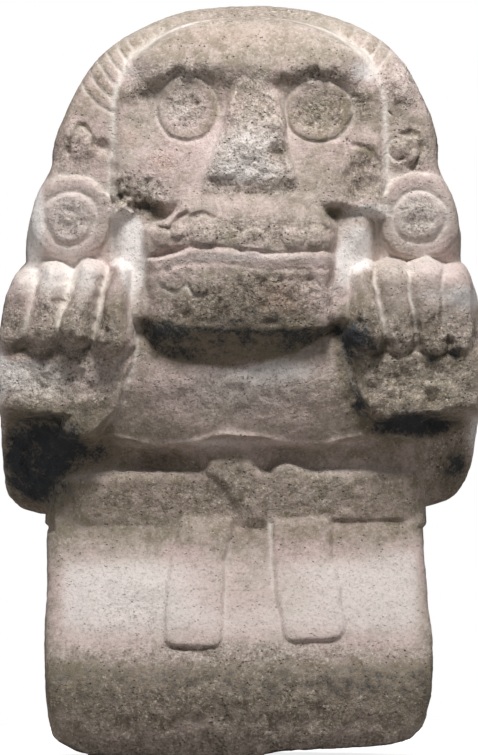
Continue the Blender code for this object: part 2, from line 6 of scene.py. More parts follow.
import bpy
import numpy as np
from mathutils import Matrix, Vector


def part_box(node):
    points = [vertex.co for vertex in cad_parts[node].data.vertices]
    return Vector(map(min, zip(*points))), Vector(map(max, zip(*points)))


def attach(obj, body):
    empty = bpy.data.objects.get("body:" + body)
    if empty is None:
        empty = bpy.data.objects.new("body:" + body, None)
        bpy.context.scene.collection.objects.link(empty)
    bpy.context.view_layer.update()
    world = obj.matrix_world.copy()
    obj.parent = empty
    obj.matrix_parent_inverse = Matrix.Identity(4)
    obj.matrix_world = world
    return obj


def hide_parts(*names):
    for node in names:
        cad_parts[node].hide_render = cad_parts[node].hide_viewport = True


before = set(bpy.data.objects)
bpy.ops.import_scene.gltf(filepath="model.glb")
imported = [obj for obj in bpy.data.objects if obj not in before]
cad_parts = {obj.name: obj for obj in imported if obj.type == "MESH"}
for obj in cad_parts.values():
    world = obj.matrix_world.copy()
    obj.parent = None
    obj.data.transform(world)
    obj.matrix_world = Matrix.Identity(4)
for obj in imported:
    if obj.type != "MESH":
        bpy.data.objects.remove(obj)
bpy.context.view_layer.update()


# ---- Outline of the block
# One upright block of volcanic stone, cut to a broad arch of hair over raised hands, square
# elbows and a narrower skirt. Sizes are for a figure 0.75 m tall, x across and z up, and the
# finished carving is brought to the block's place.
DRAWN_HEIGHT = 0.75
HAIR_SPRING = 0.5975
ELBOW_FOOT = 0.246


def curve(at, *knots):
    """Smooth line through (position, value) knots: cubic pieces whose slope at a knot is the
    harmonic mean of the slopes beside it, or level where they differ in sign."""
    place, value = np.array(sorted(knots), float).T
    step = np.diff(place)
    rise = np.diff(value) / step
    slope = np.zeros(len(place))
    turn = rise[:-1] * rise[1:] > 0
    slope[1:-1][turn] = 2 / (1 / rise[:-1][turn] + 1 / rise[1:][turn])
    i = np.clip(np.searchsorted(place, at) - 1, 0, len(step) - 1)
    s = np.clip((at - place[i]) / step[i], 0, 1)
    ease = s * s * (3 - 2 * s)
    bend = s * (1 - s) * ((1 - s) * slope[i] - s * slope[i + 1]) * step[i]
    return value[i] * (1 - ease) + value[i + 1] * ease + bend


def metres(rows):
    """Rows of millimetres, in metres."""
    return (np.array(rows, float) / 1000).tolist()


def sweep(at, *knots):
    """The smooth line of curve, through knots in millimetres."""
    return curve(at, *metres(knots))


def ramp(at, start, end):
    """0 at start, 1 at end, with the cubic ease 3s^2 - 2s^3 between."""
    s = np.clip((at - start) / (end - start), 0, 1)
    return s * s * (3 - 2 * s)


def bump(x, z, place, size):
    """1 at a place, easing to 0 at the rim of an oval of half-sizes size."""
    far = np.hypot((x - place[0]) / size[0], (z - place[1]) / size[1])
    return 1 - ramp(far, 0, 1)


def body_half_width(z, side):
    """Skirt and waist, then a superellipse of hair that flares to the shoulders."""
    foot = (125, 164.5, 184) if side < 0 else (130, 149, 180)
    skirt = sweep(
        z, (0, foot[0]), (12, foot[1]), (27, foot[2]), (80, 191.5), (120, 192), (170, 188),
        (230, 186), (300, 180), (360, 172),
    )
    rise = np.clip((z - HAIR_SPRING) / (DRAWN_HEIGHT - HAIR_SPRING), 0, 1)
    dome = 0.19 * (1 - rise**2.15) ** (1 / 2.15)
    dome = dome - 0.005 * bump(0, z, (0, 0.662), (1, 0.055))
    flare = sweep(z, (470, 26), (517, 24.5), (537, 21.5), (557, 16.5), (597, 0))
    head = np.maximum((dome + flare) * ramp(z, 0.4, 0.47), 0.172 * (z < 0.5))
    return np.where(z < 0.4, skirt, head)


def arm_half_width(z, side):
    """Elbow, forearm and the heel of the hand."""
    foot, elbow = (ELBOW_FOOT, 0.233) if side < 0 else (ELBOW_FOOT + 0.01, 0.2355)
    return curve(
        z, (foot - 0.01, 0.15), (foot, 0.206), (foot + 0.01, 0.2205), (foot + 0.021, 0.228),
        (0.3, elbow), (0.34, elbow + 0.0035), (0.385, 0.24), (0.43, 0.2375), (0.458, 0.2335),
        (0.477, 0.227), (0.488, 0.221), (0.5, 0.203), (0.515, 0),
    )


def centre_line(z):
    """The head leans a little to +X, the skirt to -X."""
    return sweep(
        z, (0, -2), (80, -1), (230, -5), (400, 0), (550, 4), (600, 5), (650, 7.5), (750, 9.5)
    )


# ---- Skirt over folded legs
# The thighs slope from the sash to the knees, and the plain skirt drops from there to the
# floor, leaning back a little. At the figure's left the foot is lost.
NOTHING = -1


def only(inside, height):
    """A height where inside is positive, and nothing at all elsewhere."""
    return np.where(inside > 0, height, NOTHING)


def lap(x, z):
    """Thighs, knees and skirt: reach towards -Y as a smooth profile of z."""
    reach = 0.222 - sweep(
        z, (0, 24), (10, 13), (30, 4), (58, 0), (75, 3), (95, 13), (125, 32), (160, 54), (200, 78),
        (236, 94), (270, 125),
    )
    return only(0.29 - z, reach - 0.35 * x * x)


def underside(x, y):
    """Height of the foot: level, but rising to the figure's left where the edge is lost."""
    lost = sweep(x, (5, 0), (22, 7.6), (48, 12), (136, 16.5), (165, 21.5), (186, 36))
    return np.maximum(lost - 0.024 * (y + 0.2), 0)


# ---- Sash
# A broad sash carved flat round the waist and tied in front: a loop with a second fold beside
# it, and two square ends that hang side by side over the lap.
BELT_FOOT, BELT_TOP = 0.234, 0.288


def edge(inside, radius):
    """Quarter-round edge: 0 on an outline, rising on a circle's arc to 1 at radius inside."""
    s = 1 - np.clip(inside / radius, 0, 1)
    return np.sqrt(1 - s * s)


def merge(a, b, soft):
    """The higher of two heights, with a parabolic fillet where they meet."""
    gap = np.clip(1 - np.abs(a - b) / soft, 0, 1)
    return np.maximum(a, b) + gap * gap * soft / 4


def both(a, b, soft):
    """The lower of two depths, eased where they are alike, so that corners come out round."""
    return -merge(-a, -b, soft)


def sash_tails(x, z):
    """Two strips between curved sides, each with a quarter-round edge."""
    left = both(
        x - sweep(z, (115, -74.5), (191, -69), (227, -62)),
        sweep(z, (115, -17.5), (197, -14.5), (228, -8)) - x, 0.01,
    )
    right = both(
        x - sweep(z, (115, 45), (160, 36), (225, 32)),
        sweep(z, (123, 104), (176, 98), (204, 91)) - x, 0.01,
    )
    left = both(left, z - 0.113, 0.01)
    right = both(right, z - 0.116 - 0.12 * (x - 0.045), 0.01)
    return 0.0072 * edge(np.maximum(left, right), 0.006)


def belt(x, z):
    """Flat band between a level foot and a top that droops at the figure's right."""
    top = curve(x, (-0.196, 0.279), (-0.132, 0.287), (0.07, BELT_TOP))
    above = z - curve(x, (-0.1, BELT_FOOT - 0.002), (0.1, BELT_FOOT + 0.003))
    reach = np.minimum(0.116 + 0.014 * edge(top - z, 0.012), 0.126 + 0.004 * edge(above, 0.004))
    wrap = 0.3 * x * x + 12 * np.maximum(np.abs(x) - 0.15, 0) ** 2
    return only(np.minimum(above, top - z), reach - wrap)


def knot(x, z):
    """Loop and second fold, each bounded by smooth curves and rounded at the edge."""
    left = sweep(z, (229, -1), (247, -4), (259, -12), (272, -20), (286, -38))
    crown = sweep(x, (-38, 288), (-26, 300), (-10, 304), (7, 302), (18, 293), (31, 284))
    loop = both(both(x - left, 0.03 - x, 0.006), both(crown - z, z - 0.228, 0.006), 0.006)
    hump = sweep(x, (30, 290), (46, 295), (71, 288))
    fold = both(both(x - 0.031, 0.071 - x, 0.006), both(hump - z, z - BELT_FOOT, 0.006), 0.006)
    reach = np.maximum(0.124 + 0.011 * edge(loop, 0.014), 0.124 + 0.008 * edge(fold, 0.014))
    return only(np.maximum(loop, fold), reach)


# ---- Chest
# Broad flat breasts end in two scallops over the hollow waist, between the raised hands.
def swell(x, z, *ovals):
    """Sum of bumps given by place, half-sizes and height, all in millimetres."""
    ovals = metres(ovals)
    return sum(height * bump(x, z, (a, b), (wide, high)) for a, b, wide, high, height in ovals)


def waist(x, z):
    """Breast above the scalloped line, and below it a waist with a pocket on each side."""
    scallop = 0.3155 - 0.0055 * np.cos(2 * math.pi * (np.abs(x + 0.005) - 0.07) / 0.14)
    breast = sweep(
        z, (270, 122), (300, 128), (320, 141), (350, 150), (380, 157), (410, 156), (435, 145),
        (455, 110), (500, 95),
    )
    below = 0.006 * (1 - ramp(z, scallop - 0.005, scallop + 0.002))
    lip = 0.0024 * bump(0, z, (0, scallop + 0.002), (1, 0.004))
    pockets = swell(
        x, z, (-84, 294, 50, 20, 15), (50, 301, 40, 16, 7), (-4, 302, 45, 30, -11)
    )
    return only(0.52 - z, breast - 0.5 * x * x - below + lip - pockets)


# ---- Arms and hands
# The elbows stand out past the sash. The palms are raised and face forward, with four
# fingers each, curled down like claws; on the figure's left the outer ones are battered.
HAND_TOP = 0.496
# Each finger from the inside out, in mm: top, tip, half-width at both, and how far it curls.
FINGERS = {
    -1: ((-117.5, 484, -125.5, 416, 9.5, 16, 16), (-148, 481, -164, 426.5, 11, 16.5, 14),
         (-187, 479, -197.5, 426, 11, 16.5, 14), (-218, 470, -226.5, 426, 11, 15, 12)),
    1: ((120, 482, 124.5, 423, 10.5, 20, 10), (150, 474, 157.5, 418, 19, 18, -2),
        (184, 474, 191, 414, 18.5, 16.5, -4), (214, 469, 218, 413, 16.5, 15, -4)),
}


def band(at, low, high, soft):
    """1 between low and high, easing to 0 over soft outside them."""
    return ramp(at, low - soft, low) * (1 - ramp(at, high, high + soft))


def score(far, width):
    """Round-bottomed groove: 1 on its line, 0 from width away."""
    return np.clip(1 - (far / width) ** 2, 0, 1)


def stroke(x, z, start, end):
    """Distance from a straight stroke, and the share of the way along it."""
    dx, dz = end[0] - start[0], end[1] - start[1]
    share = np.clip(((x - start[0]) * dx + (z - start[1]) * dz) / (dx * dx + dz * dz), 0, 1)
    return np.hypot(x - start[0] - share * dx, z - start[1] - share * dz), share


def upper_arms(x, z):
    """Upper arms, and the elbows that stand out past the sash."""
    inside = both(np.abs(x) - 0.12, z - ELBOW_FOOT, 0.02)
    return only(np.minimum(inside, 0.5 - z), 0.056 + 0.046 * edge(inside, 0.045))


def palm_line(z):
    """Distance from the middle of the figure to the inner edge of either palm."""
    return sweep(z, (322, 134), (345, 119), (375, 108), (410, 98.5), (480, 99))


def palm(x, z, side):
    """Palm and forearm: a slab whose inner edge leans in as it rises."""
    across = side * x
    inner = across - palm_line(z)
    low, slant = (0.312, 0.3) if side < 0 else (0.332, 0.1)
    foot = z - low - slant * (across - 0.16)
    inside = both(both(inner, foot, 0.022), HAND_TOP - 0.006 - z, 0.01)
    hollow = 0.006 * bump(across, z, (0.175, 0.375), (0.05, 0.04)) + 0.016 * ramp(z, 0.395, 0.425)
    rim = 0.004 * score(inner - 0.004, 0.006) * band(z, 0.35, 0.48, 0.02) * (side < 0)
    return only(inside, 0.09 + 0.068 * edge(inside, 0.012) - hollow + rim)


def fingers(x, z, side):
    """Half-round rolls, widening and curling forward to the tip, in a narrow web."""
    reach = NOTHING
    for *ends, narrow, wide, curl in metres(FINGERS[side]):
        off, share = stroke(x, z, ends[:2], ends[2:])
        inside = narrow + (wide - narrow) * share - off
        roll = 0.143 + curl * share
        web = 0.005 * ramp(inside, -0.005, 0.001)
        reach = np.maximum(reach, only(inside + 0.005, roll + web + 0.02 * edge(inside, wide)))
    return reach


# ---- Hair, ears and ear spools
# A roll of hair arches over the face, scored with short grooves. Below it on each side sit
# a stylised ear and a round spool: a raised disc in a flat ring.
FACE_MIDDLE = 0.009
SPOOL, SPOOL_RADIUS, SPOOL_DISC = 0.5375, 0.043, 0.0243
SPOOLS = ((-0.1685, SPOOL), (0.178, SPOOL + 0.001))


def cut(x, z, width, *points):
    """Round-bottomed groove along straight strokes through points in millimetres."""
    points = metres(points)
    far = [stroke(x, z, a, b)[0] for a, b in zip(points[:-1], points[1:])]
    return score(np.min(far, axis=0), width)


def hair_scores(x, z):
    """Evenly turned grooves across the roll of hair, leaning to the crown as they run out."""
    angle = np.degrees(np.arctan2(x - FACE_MIDDLE, z - 0.6))
    out = np.hypot(x - FACE_MIDDLE, z - 0.6) - 0.135
    lean = curve(np.abs(angle), (20, 0.3), (50, 3.5), (70, 4.5)) * np.clip(out / 0.04, 0, 1.2) ** 2
    sides = ((24, 31), (4.86, 5.25), (10, 5))
    start, step, count = (np.where(angle < 0, left, right) for left, right in sides)
    phase = (np.abs(angle) + lean - start) / step
    near = np.abs(phase - np.clip(np.round(phase), 0, count))
    far = near * np.radians(step) * (out + 0.135)
    return score(far, 0.0028) * (out > -0.05)


def ear_scores(x, z):
    """Hooked grooves that draw the folds of each ear."""
    hook = (-171, 603), (-169, 613), (-164, 623), (-159, 630), (-154, 629), (-149, 621)
    left = np.maximum(cut(x, z, 0.0032, *hook), cut(x, z, 0.0025, (-146, 617), (-146, 608)))
    hook = (160, 621), (170, 622.5), (177, 619), (180, 609), (175, 595), (172, 587)
    right = cut(x, z, 0.0034, *hook)
    lobe = np.abs(within(x, z, 0.158, 0.606, 0.0105, 0.0105))
    return np.maximum(np.maximum(left, right), 0.7 * score(lobe, 0.0018))


def within(x, z, cx, cz, rx, rz):
    """Depth inside an oval, along its short way."""
    return (1 - np.hypot((x - cx) / rx, (z - cz) / rz)) * min(rx, rz)


def neck(x, z):
    """Shallow recess on each side of the jaw, closed below by the hands."""
    across = np.abs(x - 0.003)
    inside = both(0.132 - across, both(z - 0.425, 0.565 - z, 0.01), 0.01)
    reach = 0.146 + 0.14 * (0.56 - z) - 0.5 * np.maximum(across - 0.098, 0)
    reach = reach + swell(x, z, (124, 530, 28, 40, 12))
    return only(inside, 0.11 + (reach - 0.11) * edge(inside, 0.018))


def spools(x, z):
    """Flat ring, sunk line and raised disc, round one centre on each side."""
    relief = 0
    for place in SPOOLS:
        far = np.hypot(x - place[0], z - place[1])
        ring = 0.007 * edge(SPOOL_RADIUS - far, 0.005)
        line = 0.0018 * score(far - SPOOL_DISC - 0.002, 0.003)
        relief = relief + ring - line + 0.0012 * edge(SPOOL_DISC - far, 0.004)
    return relief


def ears(x, z):
    """Soft raised folds that the grooves cut into."""
    folds = swell(x, z, (-160, 612, 26, 28, 5), (168, 606, 30, 30, 5))
    return folds - 0.0042 * ear_scores(x, z) - swell(x, z, (-137.5, 608, 10, 11, 7))


def hair_front(x, z):
    """Front of the hair slab: it rounds back at the crown and sinks beside the neck."""
    reach = sweep(
        z, (460, 114), (500, 126), (550, 133), (620, 134), (680, 130), (710, 120), (730, 105),
        (742, 86), (748, 67), (750, 48),
    )
    reach = reach + swell(x, z, (158, 668, 24, 30, 6)) - 0.0021 * hair_scores(x, z)
    return only(z - 0.45, reach + spools(x, z) + ears(x, z))


# ---- Skull
# A death's head: a smooth forehead over deep brows, flat round eyes that once held inlay, a
# battered wedge of a nose, and cheekbones that old blows have broken.
FACE_HALF_WIDTH = 0.138
FACE_FOOT, FACE_SPRING, FACE_TOP = 0.541, 0.635, 0.737
NOSE_FOOT, NOSE_ROOT = 0.557, 0.668
EYES = ((-0.053, 0.6465, 0.031, 0.0303), (0.078, 0.6425, 0.0325, 0.0305))


def face_inside(x, z):
    """Depth inside the face's outline: straight sides under a superelliptic arch."""
    rise = np.clip((z - FACE_SPRING) / (FACE_TOP - FACE_SPRING), 0, 1)
    arch = FACE_HALF_WIDTH * (1 - rise**2.3) ** (1 / 2.3)
    across = np.abs(x - FACE_MIDDLE)
    return np.minimum(arch - across, z - FACE_FOOT + 0.04 * across)


def face_line(x, z):
    """The groove round the face, worn away over the middle of the brow."""
    worn = 1 - 0.6 * bump(x, z, (0.02, 0.735), (0.08, 0.03))
    return score(face_inside(x, z) - 0.003, 0.004) * ramp(z, 0.55, 0.565) * worn


def brow_line(x):
    """Height of the brow's edge: an arch over each eye, dipping between them."""
    return sweep(
        x, (-128, 640), (-115, 652), (-97, 663), (-79, 673), (-66, 679), (-46, 681), (-24, 677),
        (4, 674), (34, 675), (56, 680), (78, 681), (96, 677), (110, 668), (120, 656), (130, 640),
        (136, 622),
    )


def eyes(x, z):
    """Flat round beds in a sunk line."""
    relief = 0
    for eye in EYES:
        inside = within(x, z, *eye)
        disc = 0.0018 * edge(inside, 0.003) - 0.0008 * edge(inside - 0.008, 0.016)
        relief = relief + disc - 0.0022 * score(inside + 0.001, 0.0022)
    return relief


def cheek_breaks(x, z):
    """Scars of old blows: a hollow at the left, a deeper bite and notch at the right."""
    left = swell(
        x, z, (-103, 562, 40, 30, 6), (-117, 557, 9, 9, 8), (-100, 549, 13, 13, 10),
        (-86, 542, 15, 14, 14),
    )
    crack = cut(x, z, 0.0032, (112, 610), (127, 604), (138, 593), (143, 578), (143, 560))
    right = swell(x, z, (124, 572, 26, 42, 8)) + 0.0028 * crack
    return left + right + swell(x, z, (103, 539, 19, 13, 18))


def skull(x, z):
    """Forehead above the brow's edge, cheek plane below it, falling off sideways."""
    inside = face_inside(x, z)
    forehead = curve(
        z, (0.64, 0.166), (0.665, 0.169), (0.685, 0.1685), (0.7, 0.165), (0.715, 0.157),
        (0.728, 0.146), (FACE_TOP, 0.134),
    )
    cheek = sweep(z, (540, 172), (570, 169), (600, 164), (640, 156), (670, 154))
    over = ramp(z, brow_line(x) - 0.01, brow_line(x) + 0.009)
    aside = ramp(np.abs(x - FACE_MIDDLE), 0.075, 0.118)
    root = bump(x, 0, (0.012, 0), (0.055, 1))
    overhang = (forehead - cheek) * (0.62 - 0.47 * aside - 0.36 * root)
    blend = ramp(z, 0.63 + 0.045 * aside, 0.7 + 0.02 * aside)
    skin = cheek + overhang * over + (forehead - cheek - overhang) * blend
    skin = skin + swell(x, z, (13, 672, 30, 30, 6)) * (1 - over)
    skin = skin - 1.1 * (x - FACE_MIDDLE) ** 2 + eyes(x, z) - cheek_breaks(x, z)
    rim = 0.0022 * face_line(x, z)
    return only(inside, 0.128 + (skin - rim - 0.128) * edge(inside, 0.017))


def nose_inside(x, z):
    """Depth inside the nose's outline: a wedge that widens from the root to the nostrils."""
    middle = curve(z, (NOSE_FOOT, 0.01), (NOSE_ROOT, 0.014))
    half = curve(
        z, (NOSE_FOOT, 0.048), (0.57, 0.0495), (0.603, 0.0385), (0.632, 0.031), (0.657, 0.0245),
        (NOSE_ROOT, 0.021),
    )
    ends = np.minimum(z - NOSE_FOOT, NOSE_ROOT + 0.006 - z)
    return both(half - np.abs(x - middle), ends, 0.01)


def nose(x, z):
    """The wedge's battered front, hollowed at the nostrils."""
    ridge = curve(
        z, (NOSE_FOOT, 0.1725), (0.566, 0.1748), (0.582, 0.1798), (0.6, 0.1805), (0.64, 0.173),
        (NOSE_ROOT, 0.165),
    )
    ridge = ridge - 0.1 * np.abs(x - 0.012)
    nostrils = swell(x, z, (38, 600, 15, 18, 5), (-6, 600, 12, 14, 2))
    inside = nose_inside(x, z)
    return only(inside, 0.16 + (ridge - 0.16 - nostrils) * edge(inside, 0.01))


# ---- Jaw and teeth
# The fleshless jaw juts over the chest. Worn upper teeth stand over the slit of the mouth, a
# smooth lip runs under it, and little is left of the lower teeth or the chin.
SCALLOPS = (
    (-84, 473), (-78, 468), (-68.5, 464), (-59.5, 466.5), (-53, 472), (-50, 466), (-43, 461),
    (-32, 460),
)


def jaw_foot(x):
    """Height where the underside of the jaw meets the chest: a curve lowest in the middle."""
    return sweep(x, (-100, 424), (-88, 411), (-63, 397), (-10, 391), (46, 402), (97, 424))


def chin_line(x):
    """Height of the chin's worn edge."""
    return sweep(x, (-92, 440), (-48, 433), (5, 429), (83, 432), (97, 437))


def mouth_line(x):
    """Height of the slit between the jaws."""
    return sweep(x, (-90, 499), (-61, 507), (-31, 508), (0, 505), (37, 502), (96, 504))


def jaw_sides(x, z):
    """Depth inside the jaw's outline, which narrows where it slips under the cheekbones."""
    left = sweep(z, (440, -96.5), (465, -99.5), (524, -100), (536, -76), (550, -67), (570, -58))
    right = sweep(z, (440, 96.5), (527, 98), (540, 92), (553, 84), (570, 70))
    return np.minimum(x - left, right - x)


def teeth(x, z):
    """Rounded worn lumps above the slit, and three short U-shaped teeth under the lip."""
    upper = (
        (-77.5, 519, 9, 9.5), (-62, 524.5, 7.5, 8), (-36, 521, 15, 14), (14.5, 513, 17, 12.5),
        (53, 517, 12.5, 11), (75, 518, 8.5, 11.5), (90, 516, 6.5, 11), (89, 535, 8, 9.5),
    )
    lower = ((-79.5, 480, 7, 11), (-62.5, 478, 8.8, 13), (-40, 475, 10, 14))
    relief = 0
    for row, high, soft in ((upper, 0.0034, 0.006), (lower, 0.0018, 0.004)):
        for tooth in metres(row):
            relief = np.maximum(relief, high * edge(within(x, z, *tooth), soft))
    return relief


def jaw(x, z):
    """Barrel-shaped jaw over a plain sloping underside, cut up by wear."""
    profile = sweep(
        z, (400, 180), (440, 184), (462, 186), (495, 187), (515, 186), (530, 184), (545, 180),
        (558, 174), (575, 163), (600, 145),
    )
    under = (z - jaw_foot(x)) / (chin_line(x) - jaw_foot(x))
    slit_at = mouth_line(x)
    gape = bump(x, 0, (-0.073, 0), (0.026, 1))
    slit = (0.0032 + 0.005 * gape) * score(z - slit_at, 0.0018 + 0.003 * gape)
    lip = 0.0012 * bump(0, z, (0, slit_at - 0.006), (1, 0.006))
    lip_foot = 0.0014 * score(z - slit_at + 0.0165, 0.0024)
    gum = 0.006 * cut(x, z, 0.003, (-82, 528), (-69, 526), (-61, 537), (-53, 541))
    arc = 0.004 * cut(x, z, 0.0028, (-56, 533), (-47, 539), (-36, 541), (-24, 538))
    hollow = swell(x, z, (70, 477, 14, 11, 4))
    scallops = 0.0018 * cut(x, z, 0.0022, *SCALLOPS)
    scallops = scallops + 0.0018 * cut(x, z, 0.0022, (71, 466), (82, 463), (91, 470))
    skin = profile - 1.9 * (x - 0.003) ** 2 - slit + lip - lip_foot
    skin = skin - gum - arc - hollow - scallops
    skin = both(skin + teeth(x, z), 0.15 + 0.036 * under, 0.01)
    inside = jaw_sides(x, z)
    rounding = sweep(z, (430, 14), (500, 13), (535, 10))
    skin = 0.11 + (skin - 0.11) * edge(inside, rounding)
    return only(np.minimum(np.minimum(inside, 0.62 - z), under + 0.3), skin)


# ---- The three cuts of the block
# The carver works inwards from the front, the flanks and the back of the block. The flanks
# show bent arms, hair and folded legs; the back a plain panel of hair, sash and soles.
STRAND = 0.021


def front(x, z):
    """How far the front stands from the middle of the plan, towards -Y."""
    reach = np.maximum(waist(x, z), belt(x, z))
    reach = merge(reach, lap(x, z) + sash_tails(x, z), 0.004)
    reach = np.maximum(reach, knot(x, z))
    beside = band(z, ELBOW_FOOT - 0.02, 0.34, 0.001) * ramp(np.abs(x), 0.184, 0.196)
    reach = merge(reach * (1 - beside), upper_arms(x, z), 0.008)
    reach = merge(reach, hair_front(x, z), 0.006)
    reach = merge(reach, neck(x, z), 0.006)
    for side in (-1, 1):
        reach = merge(reach, palm(x, z, side), 0.004)
        reach = merge(reach, fingers(x, z, side), 0.0015)
    reach = merge(reach, skull(x, z), 0.003)
    reach = merge(reach, jaw(x, z), 0.008)
    return merge(reach, nose(x, z), 0.006)


def flank(y, z, side):
    """Half-width of the figure where it is cut from the side."""
    body = body_half_width(z, side) + 0.004 * band(z, BELT_FOOT, BELT_TOP, 0.004)
    fold = sweep(y, (-160, 70), (20, 98), (200, 112))
    body = body - 0.008 * bump(0, z, (0, fold), (1, 0.014)) * ramp(y, -0.16, -0.04)
    locks = np.cos(2 * math.pi * (y + 0.3 * (z - 0.5)) / STRAND) * band(z, 0.52, 0.72, 0.03)
    body = body + 0.0022 * locks * (y > -0.06)
    rear = sweep(z, (240, 20), (260, 55), (290, 78), (340, 90), (450, 88), (510, 60))
    fore = sweep(z, (240, 30), (260, 65), (300, 92), (335, 105), (350, 170))
    beside = (1 - ramp(y, rear - 0.02, rear + 0.016)) * ramp(y, -fore - 0.02, -fore + 0.02)
    arm = body + (arm_half_width(z, side) - body) * beside
    bend = sweep(z, (270, -15), (500, -62))
    crease = 0.01 * bump(y, 0, (bend, 0), (0.014, 1)) * band(z, 0.32, 0.49, 0.03)
    return np.maximum(body, arm - crease)


def back(x, z):
    """How far the back stands from the middle of the plan, towards +Y: hair, sash, heels."""
    reach = sweep(
        z, (0, 186), (20, 194), (60, 198), (120, 195), (170, 180), (210, 155), (250, 130),
        (290, 112), (340, 112), (400, 118), (470, 120), (560, 122), (630, 120), (680, 111),
        (710, 99), (730, 83), (742, 66), (750, 40),
    )
    reach = reach - 0.7 * x * x
    panel = both(0.125 - np.abs(x), z - 0.345, 0.02)
    locks = 0.0022 * np.cos(2 * math.pi * x / STRAND)
    reach = reach + (0.009 + locks) * edge(panel, 0.008)
    reach = reach + 0.008 * edge(np.minimum(z - BELT_FOOT, BELT_TOP - z), 0.006)
    under = 1 - ramp(z, 0.128, 0.14)
    sole = within(np.abs(x), z, 0.066, 0.062, 0.043, 0.062)
    return reach - under * 0.014 * (1 - edge(sole, 0.014))


# ---- Age
# Weather has rounded the porous stone's edges. Old blows and flaking left rough, pitted
# patches, browner than the skin.
def grain(place, size, seed):
    """Seeded noise in -1 to 1: random values on a cubic lattice, blended along each axis by
    the ease 3s^2 - 2s^3."""
    lattice = np.random.default_rng(seed).uniform(-1, 1, (64, 64, 64)).astype(np.float32)
    at = place / size + 500
    cell = np.floor(at).astype(int)
    s = (at - cell).astype(np.float32)
    s = s * s * (3 - 2 * s)
    total = 0
    for step in np.ndindex(2, 2, 2):
        share = np.prod(np.where(step, s, 1 - s), axis=-1)
        total = total + share * lattice[tuple(np.moveaxis((cell + step) % 64, -1, 0))]
    return total


# Rough patches on the front: place and half-sizes in mm, and how bad in hundredths.
ROUGH_PLACES = (
    # brows and eyes
    (-58, 681, 38, 12, 120), (4, 676, 50, 10, 80), (72, 679, 36, 12, 120),
    (118, 655, 14, 22, 100), (-98, 662, 20, 12, 90), (-53, 645, 24, 24, 100),
    (78, 642, 28, 27, 110),
    # cheekbones
    (-104, 560, 36, 24, 170), (-75, 590, 24, 24, 50), (122, 572, 30, 44, 80),
    # jaws
    (3, 524, 105, 18, 80), (20, 462, 85, 26, 110), (0, 446, 110, 22, 90), (-60, 478, 40, 14, 50),
    # hair, ears and spools
    (158, 670, 26, 30, 80), (15, 742, 80, 14, 80), (-150, 700, 30, 30, 40),
    (-165, 605, 30, 34, 60), (170, 605, 30, 34, 60), (-168, 537, 23, 23, 90),
    (178, 538, 23, 23, 90),
    # hands
    (-170, 402, 80, 24, 90), (-129, 424, 16, 28, 100), (-158, 396, 20, 14, 140),
    (-160, 438, 18, 36, 90), (-194, 438, 18, 36, 90), (-225, 428, 16, 32, 100),
    (124, 423, 22, 32, 130), (157, 418, 20, 26, 100), (205, 420, 45, 30, 120),
    # chest, palms and elbows
    (0, 365, 110, 45, 55), (-180, 370, 80, 40, 100), (165, 370, 80, 50, 110),
    (-210, 300, 50, 70, 80), (215, 290, 50, 70, 60),
    # skirt and sash
    (0, 60, 260, 50, 80), (0, 106, 260, 16, 70), (-110, 150, 70, 50, 35), (120, 140, 70, 40, 25),
    (0, 10, 260, 40, 90), (0, 265, 260, 40, 50),
)


def patches(x, z, rows, spread, power):
    """What each patch gives: its strength times a power of a bump over its widened oval."""
    for *oval, strength in rows:
        across, up, wide, high = metres(oval)
        there = bump(x, z, (across, up), (spread * wide, spread * high))
        yield strength / 100 * there**power


def rough_at(x, z):
    """How battered the front is: the worst of the patches around a place, and all the nose."""
    worst = reduce(np.maximum, patches(x, z, ROUGH_PLACES, 1.25, 0.7), 0.12)
    return np.maximum(worst, 0.75 * ramp(nose_inside(x, z), 0, 0.006))


# ---- The carved surface
# One closed skin: from a rounded core inside the block, rays run out in every direction, and
# each vertex takes the outermost point of stone along its ray.
CORNER_RADIUS = 0.016
CORE_X, CORE_Y, CORE_LOW, CORE_HIGH = 0.105, 0.005, 0.1, 0.665
CORE_CORNER, CORE_AXIS = 0.03, 0.02
LATTICE = 0.001
COLUMNS, ROWS = ((760, 720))


def blurred(table, passes):
    """The table smoothed with weights 1, 2, 1 along one axis, then turned for the other."""
    for _ in range(2 * passes):
        padded = np.pad(table, ((1, 1), (0, 0)), mode="edge")
        table = ((padded[:-2] + padded[2:] + 2 * table) / 4).T
    return table


def tabled(drawing, reach):
    """The drawing worked out once on a square lattice from -reach to reach, and weathered."""
    across = np.arange(-reach, reach + LATTICE, LATTICE)
    up = np.arange(0, DRAWN_HEIGHT + LATTICE, LATTICE)
    return blurred(drawing(*np.meshgrid(across, up, indexing="ij")), 2).astype(np.float32)


def read(table, across, z):
    """The table's value between its points, by proportion along both axes."""
    reach = (table.shape[0] - 1) * LATTICE / 2
    i = np.clip((across + reach) / LATTICE, 0, table.shape[0] - 1.001)
    j = np.clip(z / LATTICE, 0, table.shape[1] - 1.001)
    a, b = i.astype(int), j.astype(int)
    i, j = i - a, j - b
    low = table[a, b] * (1 - i) + table[a + 1, b] * i
    high = table[a, b + 1] * (1 - i) + table[a + 1, b + 1] * i
    return low * (1 - j) + high * j


def wandering(x, z):
    """The front with its lines led a millimetre or so off true."""
    place = np.stack([x, np.zeros_like(x), z], axis=-1)
    right = 0.0016 * grain(place, 0.022, 1) + 0.0008 * grain(place, 0.009, 2)
    up = 0.0016 * grain(place, 0.022, 3) + 0.0008 * grain(place, 0.009, 4)
    return front(x + right, z + up)


FRONT, BACK = tabled(wandering, 0.29), tabled(back, 0.29)
LEFT_FLANK = tabled(lambda y, z: flank(y, z, -1), 0.27)
RIGHT_FLANK = tabled(lambda y, z: flank(y, z, 1), 0.27)
CUTS = blurred(FRONT, 14) - FRONT


